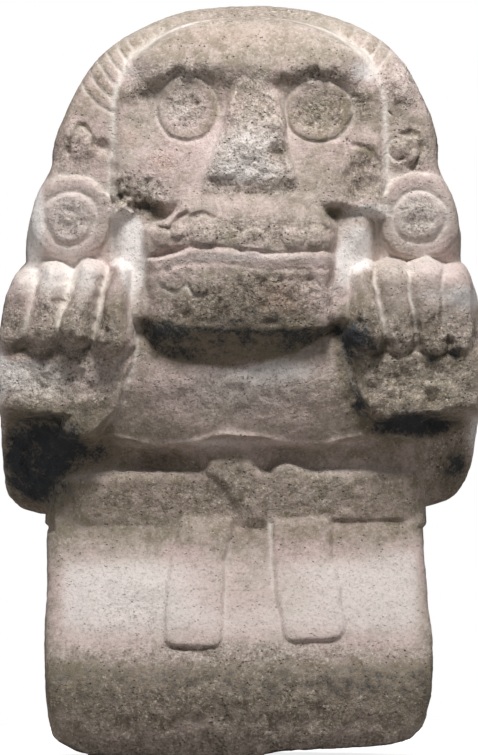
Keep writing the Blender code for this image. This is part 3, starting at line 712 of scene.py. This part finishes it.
def corner(a, b, radius):
    """The meeting of two cuts, rounded on a circle."""
    both_in = np.minimum(np.maximum(a, b) + radius, 0)
    return both_in - radius + np.hypot(np.maximum(a + radius, 0), np.maximum(b + radius, 0))


def outside(x, y, z):
    """How far a point lies outside the stone; negative within it."""
    across = x - centre_line(z)
    half = np.where(across < 0, read(LEFT_FLANK, y, z), read(RIGHT_FLANK, y, z))
    depth = np.maximum(-y - read(FRONT, x, z), y - read(BACK, x, z))
    depth = corner(depth, np.abs(across) - half, CORNER_RADIUS)
    return np.maximum(np.maximum(depth, underside(x, y) - z), z - DRAWN_HEIGHT)


def leg_shares(along, *lengths):
    """For each leg of a way, the share of it that is done."""
    ends = np.cumsum((0,) + lengths) / sum(lengths)
    return [np.clip((along - a) / (b - a), 0, 1) for a, b in zip(ends[:-1], ends[1:])]


def plan_ray(turn):
    """Start and heading, in plan, of the ray at a share of a turn, counted from the back."""
    legs = (0.06, 0.12, 0.01, 0.3, 0.32, 0.3, 0.01, 0.12, 0.06)
    done = leg_shares(turn, *legs)
    heading = math.pi / 2 * (done[1] + done[3] + done[5] + done[7])
    east, north = np.sin(heading), np.cos(heading)
    x = CORE_X * (done[0] - 2 * done[4] + done[8]) + CORE_CORNER * east
    y = CORE_Y * (1 - 2 * done[2] + 2 * done[6]) + CORE_CORNER * north
    return x, y, east, north


def level_ray(rise):
    """Height, climb and shrink of the ray at a share of the way from foot to crown."""
    done = leg_shares(rise, 0.025, 0.1, CORE_HIGH - CORE_LOW, 0.16, 0.04)
    height = CORE_LOW + (CORE_HIGH - CORE_LOW) * done[2]
    climb = math.pi / 2 * (done[1] - 1 + done[3])
    return height, climb, done[0] * (1 - done[4])


def carved(turn, rise):
    """The outermost point of stone along the ray at (turn, rise)."""
    x, y, east, north = plan_ray(turn)
    height, climb, shrink = level_ray(rise)
    start = np.stack([x * shrink, CORE_AXIS + y * shrink, height])
    heading = np.stack([east * np.cos(climb), north * np.cos(climb), np.sin(climb)])
    solid = np.zeros(x.shape)
    step = 0.006
    for distance in np.arange(0.02, 0.36, step):
        solid[outside(*(start + heading * distance)) < 0] = distance
    air = solid + step
    for _ in range(8):
        middle = (solid + air) / 2
        inside = outside(*(start + heading * middle)) < 0
        solid = np.where(inside, middle, solid)
        air = np.where(inside, air, middle)
    return np.moveaxis(start + heading * solid, 0, -1)


def eased_walls(places):
    """Vertices on steep walls drawn to the mean of their neighbours, against stepped edges."""
    for _ in range(3):
        west, east = np.roll(places, 1, axis=1), np.roll(places, -1, axis=1)
        level, column = (west + east) / 2, places.copy()
        column[1:-1] = (places[:-2] + places[2:]) / 2
        gap = np.linalg.norm(east - west, axis=-1)
        drop = np.linalg.norm(places[2:] - places[:-2], axis=-1)
        gap[1:-1] = np.maximum(gap[1:-1], drop)
        steep = ramp(gap, 0.006, 0.014)[..., None] * 0.7
        places = places + steep * ((level + column) / 2 - places)
    return places


def grid_faces(columns, rows):
    """Triangles of a ring of columns closed by one vertex below and one above."""
    i, j = np.meshgrid(np.arange(columns), np.arange(rows - 1))
    a, b = i + columns * j, (i + 1) % columns + columns * j
    c, d = b + columns, a + columns
    wall = np.concatenate([np.stack([a, c, b], -1), np.stack([a, d, c], -1)]).reshape(-1, 3)
    i = np.arange(columns)
    top = (rows - 1) * columns
    foot = np.stack([i, (i + 1) % columns, np.full(columns, rows * columns)], -1)
    crown = np.stack([top + (i + 1) % columns, top + i, np.full(columns, rows * columns + 1)], -1)
    return np.concatenate([wall, foot, crown])


def normals_of(places, faces):
    """Unit normal at each vertex: the mean of its triangles' normals, by area."""
    a, b, c = places[faces.T]
    flat = np.cross(b - a, c - a)
    total = np.zeros_like(places)
    for end, axis in np.ndindex(3, 3):
        total[:, axis] += np.bincount(faces[:, end], flat[:, axis], len(places))
    return total / np.maximum(np.linalg.norm(total, axis=1, keepdims=True), 1e-12)


def battered(places, facing):
    """How rough each place is: the patches on the front, and an even share elsewhere."""
    on_front = ramp(-facing[:, 1], -0.1, 0.3) * ramp(-places[:, 1], 0, 0.04)
    patchy = 0.16 + 0.25 * grain(places, 0.055, 5)
    return on_front * rough_at(places[:, 0], places[:, 2]) + (1 - on_front) * patchy


def weathered(places, faces):
    """Lumps and pits pushed in and out along the normals."""
    facing = normals_of(places, faces)
    rough = battered(places, facing)
    fine = 0.0004 * grain(places, 0.009, 6)
    lumps = 0.003 * (0.4 - np.abs(grain(places, 0.019, 8))) + 0.0022 * grain(places, 0.0105, 9)
    pits = 0.0028 * np.clip(grain(places, 0.007, 10) - 0.15, 0, 1)
    pits = pits + 0.0012 * grain(places, 0.005, 12)
    waves = 0.0015 * grain(places, 0.045, 11)
    height = waves + fine + rough * (lumps - pits)
    height = height * ramp(places[:, 2], 0, 0.004)
    places = places + facing * height[:, None]
    places[:, 2] = np.where(places[:, 2] < 0.0004, 0, places[:, 2])
    return places


turn, rise = np.meshgrid(np.arange(COLUMNS) / COLUMNS, np.arange(1, ROWS) / ROWS)
wall = eased_walls(carved(turn, rise))
poles = carved(np.zeros(2), np.array([0.0, 1.0]))
faces = grid_faces(COLUMNS, ROWS - 1)
places = weathered(np.concatenate([wall.reshape(-1, 3), poles]), faces)


# ---- Thinning
# The stone's skin keeps small facets where it turns and large ones where it is flat.
ENLARGEMENT = 1000
MOST_TRIANGLES = 198000


def in_scene(name, data):
    """A new object, linked to the scene."""
    made = bpy.data.objects.new(name, data)
    bpy.context.scene.collection.objects.link(made)
    return made


def thinned(places, faces):
    """The mesh with its flattest edges collapsed, on an enlargement because Decimate takes
    anything under a millimetre for flat."""
    mesh = bpy.data.meshes.new("carved_stone")
    mesh.from_pydata(places * ENLARGEMENT, [], faces)
    enlarged = in_scene("enlarged", mesh)
    thin = enlarged.modifiers.new("Facets", "DECIMATE")
    thin.ratio = MOST_TRIANGLES / len(faces)
    graph = bpy.context.evaluated_depsgraph_get()
    result = bpy.data.meshes.new_from_object(enlarged.evaluated_get(graph))
    bpy.data.objects.remove(enlarged)
    bpy.data.meshes.remove(mesh)
    return result


mesh = thinned(places, faces)
mesh.name = "carved_stone"


def of_vertices(name):
    """A vector per vertex of the thinned mesh."""
    values = np.empty(len(mesh.vertices) * 3, np.float32)
    mesh.vertices.foreach_get(name, values)
    return values.reshape(-1, 3)


co, facing = of_vertices("co") / ENLARGEMENT, of_vertices("normal")

# The finished skin takes the size and place of the block that it replaces.
low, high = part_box("statue")
middle = (co.min(axis=0) + co.max(axis=0)) / 2
placed = (co - [middle[0], middle[1], 0]) * ((high[2] - low[2]) / DRAWN_HEIGHT)
placed += [(low[0] + high[0]) / 2, (low[1] + high[1]) / 2, low[2]]
mesh.vertices.foreach_set("co", placed.astype(np.float32).ravel())
mesh.update()
mesh.shade_smooth()
carving = in_scene("carved_stone", mesh)
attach(carving, "root")
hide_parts("statue")


# ---- Stone
# Porous grey-brown volcanic stone: a pale, faintly pink skin full of fine dark grains, brown
# where it is broken, near-white where dust lies in the cuts, near-black where dark stone and
# painted shade lie. Its paleness also carries painted light and shade.

# Patina on the front, with painted light and shade: place and half-sizes in mm, and how much
# paler in hundredths. Many rows lighten places in shade or darken places under ledges.
PATINA_AND_PAINTED_LIGHT_PLACES = (
    # cheeks, nose and eyes, with painted light on the underside of the nose
    (-90, 600, 55, 60, 35), (85, 580, 50, 40, 10), (10, 605, 45, 30, 95), (10, 564, 40, 7, -35),
    (0, 580, 40, 14, 60), (38, 602, 11, 10, -100), (78, 642, 28, 26, -40), (-53, 646, 28, 26, 35),
    (-20, 552, 70, 14, 30),
    # brows, with painted light on their shade, most at the outer ends
    (-60, 681, 32, 8, 35), (74, 680, 34, 8, -10), (120, 650, 9, 20, -55), (-100, 660, 18, 7, -30),
    (-110, 684, 22, 16, 90), (121, 682, 18, 16, 95),
    # beside the jaw, with painted light down its right side, then hair, lap and sash
    (106, 495, 12, 45, 100), (112, 452, 14, 18, -50), (226, 455, 20, 18, 60),
    (-135, 698, 45, 40, -38), (165, 207, 40, 12, 25), (-155, 236, 40, 8, -20),
    (130, 80, 80, 16, -20), (-110, 275, 50, 10, -20),
    # broken cheekbones: painted shade in their notches, painted light on the shade under the right
    # one
    (-118, 560, 10, 7, -150), (-100, 552, 12, 10, -130), (-84, 546, 12, 9, -140),
    (90, 541, 10, 6, -130), (125, 545, 20, 9, 110), (124, 603, 10, 4, -120),
    (122, 572, 24, 34, -45),
    # spools and hair
    (-206, 537, 10, 45, 130), (-168, 537, 50, 50, 65), (178, 538, 50, 50, 65),
    (175, 695, 40, 45, 60), (150, 712, 18, 14, -45),
    # jaw and lip, with painted light down the jaw's left side
    (10, 458, 80, 32, -48), (5, 437, 75, 9, -55), (-85, 447, 20, 12, 30), (82, 460, 22, 30, 65),
    (3, 498, 110, 10, 65), (-106, 505, 12, 40, 160),
    # hands: painted shade under the finger tips, along the right palm's inner edge, at the foot of
    # both palms and on the chest under the jaw's left end
    (-175, 474, 80, 26, 80), (-165, 424, 60, 15, -25), (195, 480, 55, 20, 40),
    (122, 424, 19, 22, -85), (200, 458, 50, 12, 60), (186, 424, 18, 12, -55),
    (205, 405, 35, 10, -30), (-107, 420, 6, 60, 30), (-124, 440, 12, 36, -55),
    (-205, 384, 55, 28, 130), (-134, 384, 14, 20, 45), (-158, 396, 18, 12, -45),
    (-158, 342, 30, 16, -80), (170, 375, 110, 50, -15), (165, 352, 40, 10, -55),
    (-75, 400, 25, 10, -35), (108, 421, 14, 10, -130), (130, 408, 16, 14, -60),
    (104, 395, 10, 22, -100), (113, 365, 10, 22, -100), (122, 350, 10, 12, -80),
    (188, 398, 8, 6, -90), (213.5, 402, 7, 10, -100),
    # chest
    (0, 370, 90, 45, 75), (0, 314.5, 110, 5, 50), (-35, 312, 30, 8, 40), (-65, 480, 35, 12, 40),
    # dark stone and painted shade on the elbows and under the hands
    (-204, 298, 36, 48, -190), (-165, 310, 45, 18, -110), (228, 310, 30, 45, 5),
    (217, 286, 18, 26, -100), (-217, 407, 17, 11, -130), (-189, 403, 12, 10, -100),
    (172, 332, 44, 12, -200),
    # sash, lap and crown, and painted light on the jaw's shadow over the chest
    (-160, 278.5, 42, 5, 45), (125, 291, 50, 8, 60), (-110, 106, 60, 10, 30),
    (45, 388, 50, 14, 55), (0, 180, 60, 30, -25), (50, 300, 50, 18, 35), (10, 150, 90, 30, -10),
    (-110, 160, 60, 35, 12), (3, 742, 120, 30, -15),
)
# Stains on the front: the same, and how red, or how olive below 0.
STAINED_PLACES = (
    (-74, 592, 18, 15, 100), (-108, 617, 16, 14, 50), (0, 718, 80, 16, 40), (82, 582, 22, 24, -50),
    (-26, 642, 8, 22, -60), (78, 640, 30, 28, -60), (-12, 517, 18, 10, -70), (45, 458, 40, 22, 60),
    (-120, 560, 14, 12, -80), (170, 372, 90, 45, -60), (-190, 362, 60, 40, -40),
    (0, 350, 90, 40, -35), (-120, 155, 50, 40, 25),
)
# Where dust lies in the cuts: the same, and how thick.
DUSTY_PLACES = (
    (-150, 690, 75, 60, 80), (140, 705, 60, 35, 70), (-128, 610, 10, 80, 100),
    (147, 610, 10, 80, 100), (-168, 537, 48, 48, 100), (178, 538, 48, 48, 100),
    (-53, 646, 36, 36, 80), (78, 642, 36, 36, 70), (-170, 455, 85, 45, 70), (165, 460, 60, 40, 80),
    (-112, 370, 14, 90, 50), (112, 370, 14, 90, 40), (30, 220, 6, 60, 70), (-16, 170, 8, 70, 40),
    (0, 484, 90, 8, 60), (-62, 466, 36, 12, 90), (82, 466, 16, 10, 80),
)


def store(name, values):
    """Stores one number per vertex under a name, for the material to read."""
    mesh.attributes.new(name, "FLOAT", "POINT").data.foreach_set("value", values.astype(np.float32))


def curvature(mesh, places, facing):
    """How hollow the skin is: the mean, over a vertex's edges, of the neighbour's height
    along the normal over the edge's squared length, evened out over neighbours."""
    ends = np.empty(len(mesh.edges) * 2, np.int32)
    mesh.edges.foreach_get("vertices", ends)
    a, b = ends.reshape(-1, 2).T
    way = places[b] - places[a]
    square = np.maximum((way**2).sum(axis=1), 1e-8)
    count = np.bincount(np.append(a, b), minlength=len(places))

    def mean(at_a, at_b):
        """The mean over the edges at each vertex."""
        return (np.bincount(a, at_a, len(places)) + np.bincount(b, at_b, len(places))) / count

    at_a = (way * facing[a]).sum(axis=1) / square
    bend = mean(at_a, -(way * facing[b]).sum(axis=1) / square)
    for _ in range(2):
        bend = (bend + mean(bend[b], bend[a])) / 2
    return bend


def paleness(x, z):
    """How pale the front is, patina and painted light and shade together: a smooth line of height,
    changed by the patches around a place.
    """
    # Along the height, patina and painted light together: paler over the lap and the head, darker
    # on the sash and at the foot of the skirt, as light from high above falls.
    pale = curve(
        z, (0, 0.5), (0.03, 0.34), (0.055, 0.05), (0.075, -0.2), (0.088, -0.12), (0.103, 0.4),
        (0.12, 0.98), (0.145, 1.28), (0.185, 1.28), (0.205, 0.95), (0.228, 0.28), (0.29, 0.24),
        (0.33, 0.45), (0.42, 0.45), (0.52, 0.6), (0.6, 0.6), (0.7, 0.5), (0.75, 0.35),
    )
    pale = sum(patches(x, z, PATINA_AND_PAINTED_LIGHT_PLACES, 1.5, 0.8), pale)
    for eye in EYES:
        rim = score(within(x, z, *eye) - 0.004, 0.005)
        pale = pale - 0.45 * rim * ramp(x - eye[0] - z + eye[1], -0.01, 0.02)
    # Painted light: the shallow recesses beside the neck are drawn near-white.
    recess = band(x, -0.124, -0.11, 0.006) * band(z, 0.498, 0.538, 0.012)
    recess = recess + 0.6 * band(x, 0.117, 0.128, 0.007) * band(z, 0.492, 0.522, 0.014)
    # Painted light along the outer edges of the elbows, stronger at +X.
    outer = np.where(x < 0, ramp(-x, 0.228, 0.238), 1.8 * ramp(x, 0.22, 0.232))
    outer = outer * band(z, 0.27, np.where(x < 0, 0.41, 0.335), 0.02)
    lap_sides = ramp(np.abs(x), 0.168, 0.186) * band(z, 0.12, 0.2, 0.02)
    pale = pale + 1.4 * recess + 0.6 * outer - 0.42 * lap_sides
    # Painted shade: the underside of the jaw, between its foot and its chin, is drawn near-black.
    under = band(z, jaw_foot(x) + 0.001, chin_line(x) - 0.004, 0.004)
    under = under * band(x, -0.095, 0.096, 0.006)
    pale = pale - 0.5 * ear_scores(x, z) * band(z, 0.585, 0.635, 0.005)
    return np.clip(pale - 1.1 * under, -1, 1.6)


across, ahead, up = co[:, 0], -co[:, 1], co[:, 2]
front_facing = ramp(-facing[:, 1], 0, 0.35) * ramp(ahead, 0, 0.04)
groove = ramp(read(CUTS, across, up), 0.0001, 0.0011) * front_facing
groove = groove * reduce(np.maximum, patches(across, up, DUSTY_PLACES, 1.3, 0.6), 0)
palm_rim = score(-across - palm_line(up) - 0.0035, 0.003) * band(up, 0.34, 0.47, 0.01)
lines = np.maximum(0.85 * face_line(across, up), 0.55 * palm_rim)
groove = np.maximum(groove, lines * ramp(ahead, 0.04, 0.08))
store("rough", np.clip(battered(co, facing), 0, 1.3))
store("groove", groove)
store("hollow", np.clip(curvature(mesh, co, facing) / 120, -1, 1))
store("up_facing_dust_and_light", ramp(facing[:, 2], 0.35, 0.8))
in_front = ramp(ahead, 0.02, 0.08)
stains = sum(patches(across, up, STAINED_PLACES, 1.4, 1), np.zeros(len(co)))
store("stain", in_front * stains)
elsewhere = 0.45 + 0.25 * grain(co, 0.08, 14)
store("pale", in_front * paleness(across, up) + (1 - in_front) * elsewhere)


class Shades:
    """Short ways to add shader nodes to a material or a world and join them."""

    def __init__(self, owner):
        owner.use_nodes = True
        self.tree = owner.node_tree

    def add(self, kind, output, inputs=(), **settings):
        """A new node's output."""
        node = self.tree.nodes.new(kind)
        for name, value in settings.items():
            setattr(node, name, value)
        self.feed(node, inputs)
        return node.outputs[output]

    def feed(self, node, inputs):
        """Links a socket to each input, or sets a number on it."""
        for name, value in dict(inputs).items():
            if isinstance(value, bpy.types.NodeSocket):
                self.tree.links.new(value, node.inputs[name])
            else:
                node.inputs[name].default_value = value

    def end(self, kind, inputs):
        """Feeds the node that was there from the start."""
        self.feed(self.tree.nodes[kind], inputs)

    def attribute(self, name):
        return self.add("ShaderNodeAttribute", "Fac", attribute_name=name)

    def noise(self, scale, detail=3, roughness=0.6, distortion=0, place=None):
        inputs = {"Vector": place or self.place, "Scale": scale, "Detail": detail}
        inputs.update({"Roughness": roughness, "Distortion": distortion})
        return self.add("ShaderNodeTexNoise", "Fac", inputs, noise_dimensions="3D")

    def spread(self, value, low, high, to_low=0, to_high=1):
        """Eases from to_low to to_high as the value goes from low to high."""
        inputs = {"Value": value, "From Min": low, "From Max": high}
        inputs.update({"To Min": to_low, "To Max": to_high})
        return self.add("ShaderNodeMapRange", "Result", inputs, interpolation_type="SMOOTHSTEP")

    def math(self, operation, a, b):
        return self.add("ShaderNodeMath", "Value", {0: a, 1: b}, operation=operation)

    def times(self, a, b):
        return self.math("MULTIPLY", a, b)

    def plus(self, a, b):
        return self.math("ADD", a, b)

    def mix(self, share, *colours):
        sockets = (v if isinstance(v, bpy.types.NodeSocket) else (*v, 1) for v in colours)
        return self.add("ShaderNodeMix", 2, zip((0, 6, 7), (share, *sockets)), data_type="RGBA")

    def lay(self, share, colour):
        """Lays a colour over those before it."""
        self.colour = self.mix(share, self.colour, colour)


def volcanic_stone():
    """Colour from patina with painted light and shade, patches, grains, pores, wear and dust; bump
    from grains and pores.
    """
    stone = bpy.data.materials.new("volcanic_stone")
    s = Shades(stone)
    s.place = s.add("ShaderNodeTexCoord", "Object")
    rough, groove, pale, hollow, up_facing_dust_and_light, stained = map(
        s.attribute, ("rough", "groove", "pale", "hollow", "up_facing_dust_and_light", "stain")
    )
    blotches, mottle = s.noise(16, 4, 0.6), s.noise(75, 4, 0.68)
    streaks = {"Vector": s.place, "Rotation": (0, 0.8, 0), "Scale": (1, 1, 0.4)}
    streaked = s.add("ShaderNodeMapping", "Vector", streaks, vector_type="POINT")
    breaks = s.times(s.noise(130, 5, 0.7, 0.5, streaked), 0.62)
    breaks = s.plus(breaks, s.times(s.noise(290, 3, 0.75), 0.38))
    grains = s.noise(330, 3, 0.78)
    cells = {"Vector": s.place, "Scale": 240}
    pores = s.spread(s.add("ShaderNodeTexVoronoi", "Distance", cells, feature="F1"), 0.3, 0.1)
    holes = s.times(pores, s.spread(s.noise(95, 2), 0.5, 0.64))

    clean = s.mix(s.spread(blotches, 0.38, 0.62), (0.6, 0.465, 0.435), (0.52, 0.432, 0.38))
    brown = s.mix(s.spread(blotches, 0.4, 0.6), (0.26, 0.212, 0.152), (0.22, 0.187, 0.13))
    s.colour = s.mix(s.plus(pale, s.spread(mottle, 0.3, 0.7, 0.34, -0.34)), brown, clean)
    s.lay(s.spread(pale, 0.9, 1.6), (0.88, 0.82, 0.79))
    # Tops that face up are paler: dust, and painted light from above.
    s.lay(s.times(up_facing_dust_and_light, 0.2), (0.66, 0.6, 0.56))
    bright_break = s.mix(pale, (0.4, 0.33, 0.27), (0.66, 0.585, 0.525))
    dark_break = s.mix(pale, (0.1, 0.075, 0.055), (0.26, 0.205, 0.165))
    worn = s.times(rough, s.spread(mottle, 0.25, 0.6, 0.35, 1))
    s.lay(s.times(worn, 0.75), s.mix(s.spread(breaks, 0.43, 0.59), bright_break, dark_break))
    stained = s.times(stained, s.spread(blotches, 0.3, 0.6, 0.6, 1))
    s.lay(s.spread(stained, 0, 1, 0, 0.45), (0.5, 0.29, 0.215))
    s.lay(s.spread(stained, 0, -1, 0, 0.45), (0.37, 0.345, 0.225))
    speck = s.times(s.spread(grains, 0.5, 0.7), s.spread(rough, 0.1, 0.7, 0.45, 0.95))
    s.lay(speck, (0.16, 0.122, 0.095))
    crumbs = s.times(s.spread(grains, 0.46, 0.3), s.spread(rough, 0.1, 0.7, 0.4, 0.8))
    s.lay(crumbs, (0.78, 0.7, 0.63))
    # Dark grime and painted shade in the hollows of broken places.
    pit_grime_and_painted_shade = s.times(s.spread(hollow, 0.1, 0.8), s.spread(rough, 0.15, 0.7))
    s.lay(s.times(pit_grime_and_painted_shade, 0.65), (0.09, 0.07, 0.053))
    crest = s.times(s.spread(hollow, -0.12, -0.8), s.spread(rough, 0.1, 0.6, 0.15, 0.55))
    s.lay(crest, (0.68, 0.59, 0.51))
    s.lay(s.times(holes, s.spread(pale, 0.5, 1.1, 0.7, 0.25)), (0.11, 0.088, 0.07))
    dusty = s.times(groove, s.spread(s.noise(60), 0.3, 0.6, 0.5, 1))
    s.lay(s.times(dusty, 0.85), (0.86, 0.8, 0.73))
    # Near-black where the paleness falls below zero: dark stone and painted shade under the jaw, on
    # the elbows and under the hands.
    dark_stone_and_painted_shade = s.plus(pale, s.spread(mottle, 0.3, 0.7, -0.35, 0.35))
    dark_stone_and_painted_shade = s.plus(dark_stone_and_painted_shade, s.spread(grains, 0.35, 0.65, -0.3, 0.3))
    s.lay(s.spread(dark_stone_and_painted_shade, 0, -1, 0, 0.94), (0.032, 0.038, 0.046))

    relief = s.plus(s.times(grains, 0.8), s.times(s.noise(150, 3), 1.3))
    relief = s.math("SUBTRACT", relief, s.times(holes, 1.2))
    strength = s.plus(0.6, s.times(rough, 0.9))
    relief = {"Height": relief, "Distance": 0.0015, "Strength": strength}
    ends = {"Base Color": s.colour, "Roughness": 0.92, "Specular IOR Level": 0.25}
    ends["Normal"] = s.add("ShaderNodeBump", "Normal", relief)
    s.end("Principled BSDF", ends)
    return stone


mesh.materials.clear()
mesh.materials.append(volcanic_stone())


# ---- Studio
# A pale matt floor that throws back less light than it shows, a soft lamp high in front, wide
# lamps in front, on both sides and behind, and a faint even light all round. The camera is
# level with the middle of the figure, far off.
FLOOR, FLOOR_BOUNCE = (0.93, 0.93, 0.93), (0.3, 0.29, 0.28)
floor_paint = bpy.data.materials.new("floor_paint")
paint = Shades(floor_paint)
seen = paint.add("ShaderNodeLightPath", "Is Camera Ray")
paint.end("Principled BSDF", {
    "Base Color": paint.mix(seen, FLOOR_BOUNCE, FLOOR),
    "Roughness": 0.9,
    "Emission Color": (*FLOOR, 1),
    "Emission Strength": paint.times(seen, 0.85),
})
floor_mesh = bpy.data.meshes.new("floor")
floor_mesh.from_pydata([(-3, -3, 0), (3, -3, 0), (3, 1.2, 0), (-3, 1.2, 0)], [], [(0, 1, 2, 3)])
floor_mesh.materials.append(floor_paint)
floor = in_scene("floor", floor_mesh)


def lamp(name, place, aim, size, power, colour=(1, 1, 1)):
    """A square soft lamp at a place, turned to face another."""
    light = bpy.data.lights.new(name, "AREA")
    light.size, light.energy, light.color = size, power, colour
    made = in_scene(name, light)
    made.location = place
    made.rotation_euler = (Vector(aim) - Vector(place)).to_track_quat("-Z", "Y").to_euler()


lamp("key", (0.08, -0.86, 1.85), (0, -0.15, 0.5), 0.45, 32)
lamp("front_fill", (-0.6, -3.2, 1.6), (0, 0, 0.5), 1.6, 9)
lamp("left_fill", (-2.6, -0.5, 1), (0, 0, 0.45), 1.2, 11)
lamp("right_fill", (2.6, -0.5, 1), (0, 0, 0.45), 1.2, 11)
lamp("behind", (0, 3, 0.9), (0, 0, 0.4), 1.6, 40)

world = bpy.data.worlds.new("studio")
sky = Shades(world)
seen = sky.add("ShaderNodeLightPath", "Is Camera Ray")
sky.end("Background", {"Color": sky.mix(seen, (0.032, 0.035, 0.038), (1, 1, 1))})
bpy.context.scene.world = world
bpy.context.scene.view_settings.view_transform = "Standard"

camera_data = bpy.data.cameras.new("camera")
camera_data.sensor_fit = "VERTICAL"
camera_data.sensor_height = 36
DISTANCE = 14
FRAME_HEIGHT = 0.755
camera_data.lens = 36 * DISTANCE / FRAME_HEIGHT
camera_data.clip_end = 60
camera = in_scene("camera", camera_data)
camera.location = (-0.001, -DISTANCE, 0.3795)
camera.rotation_euler = (math.pi / 2, 0, 0)
bpy.context.scene.camera = camera
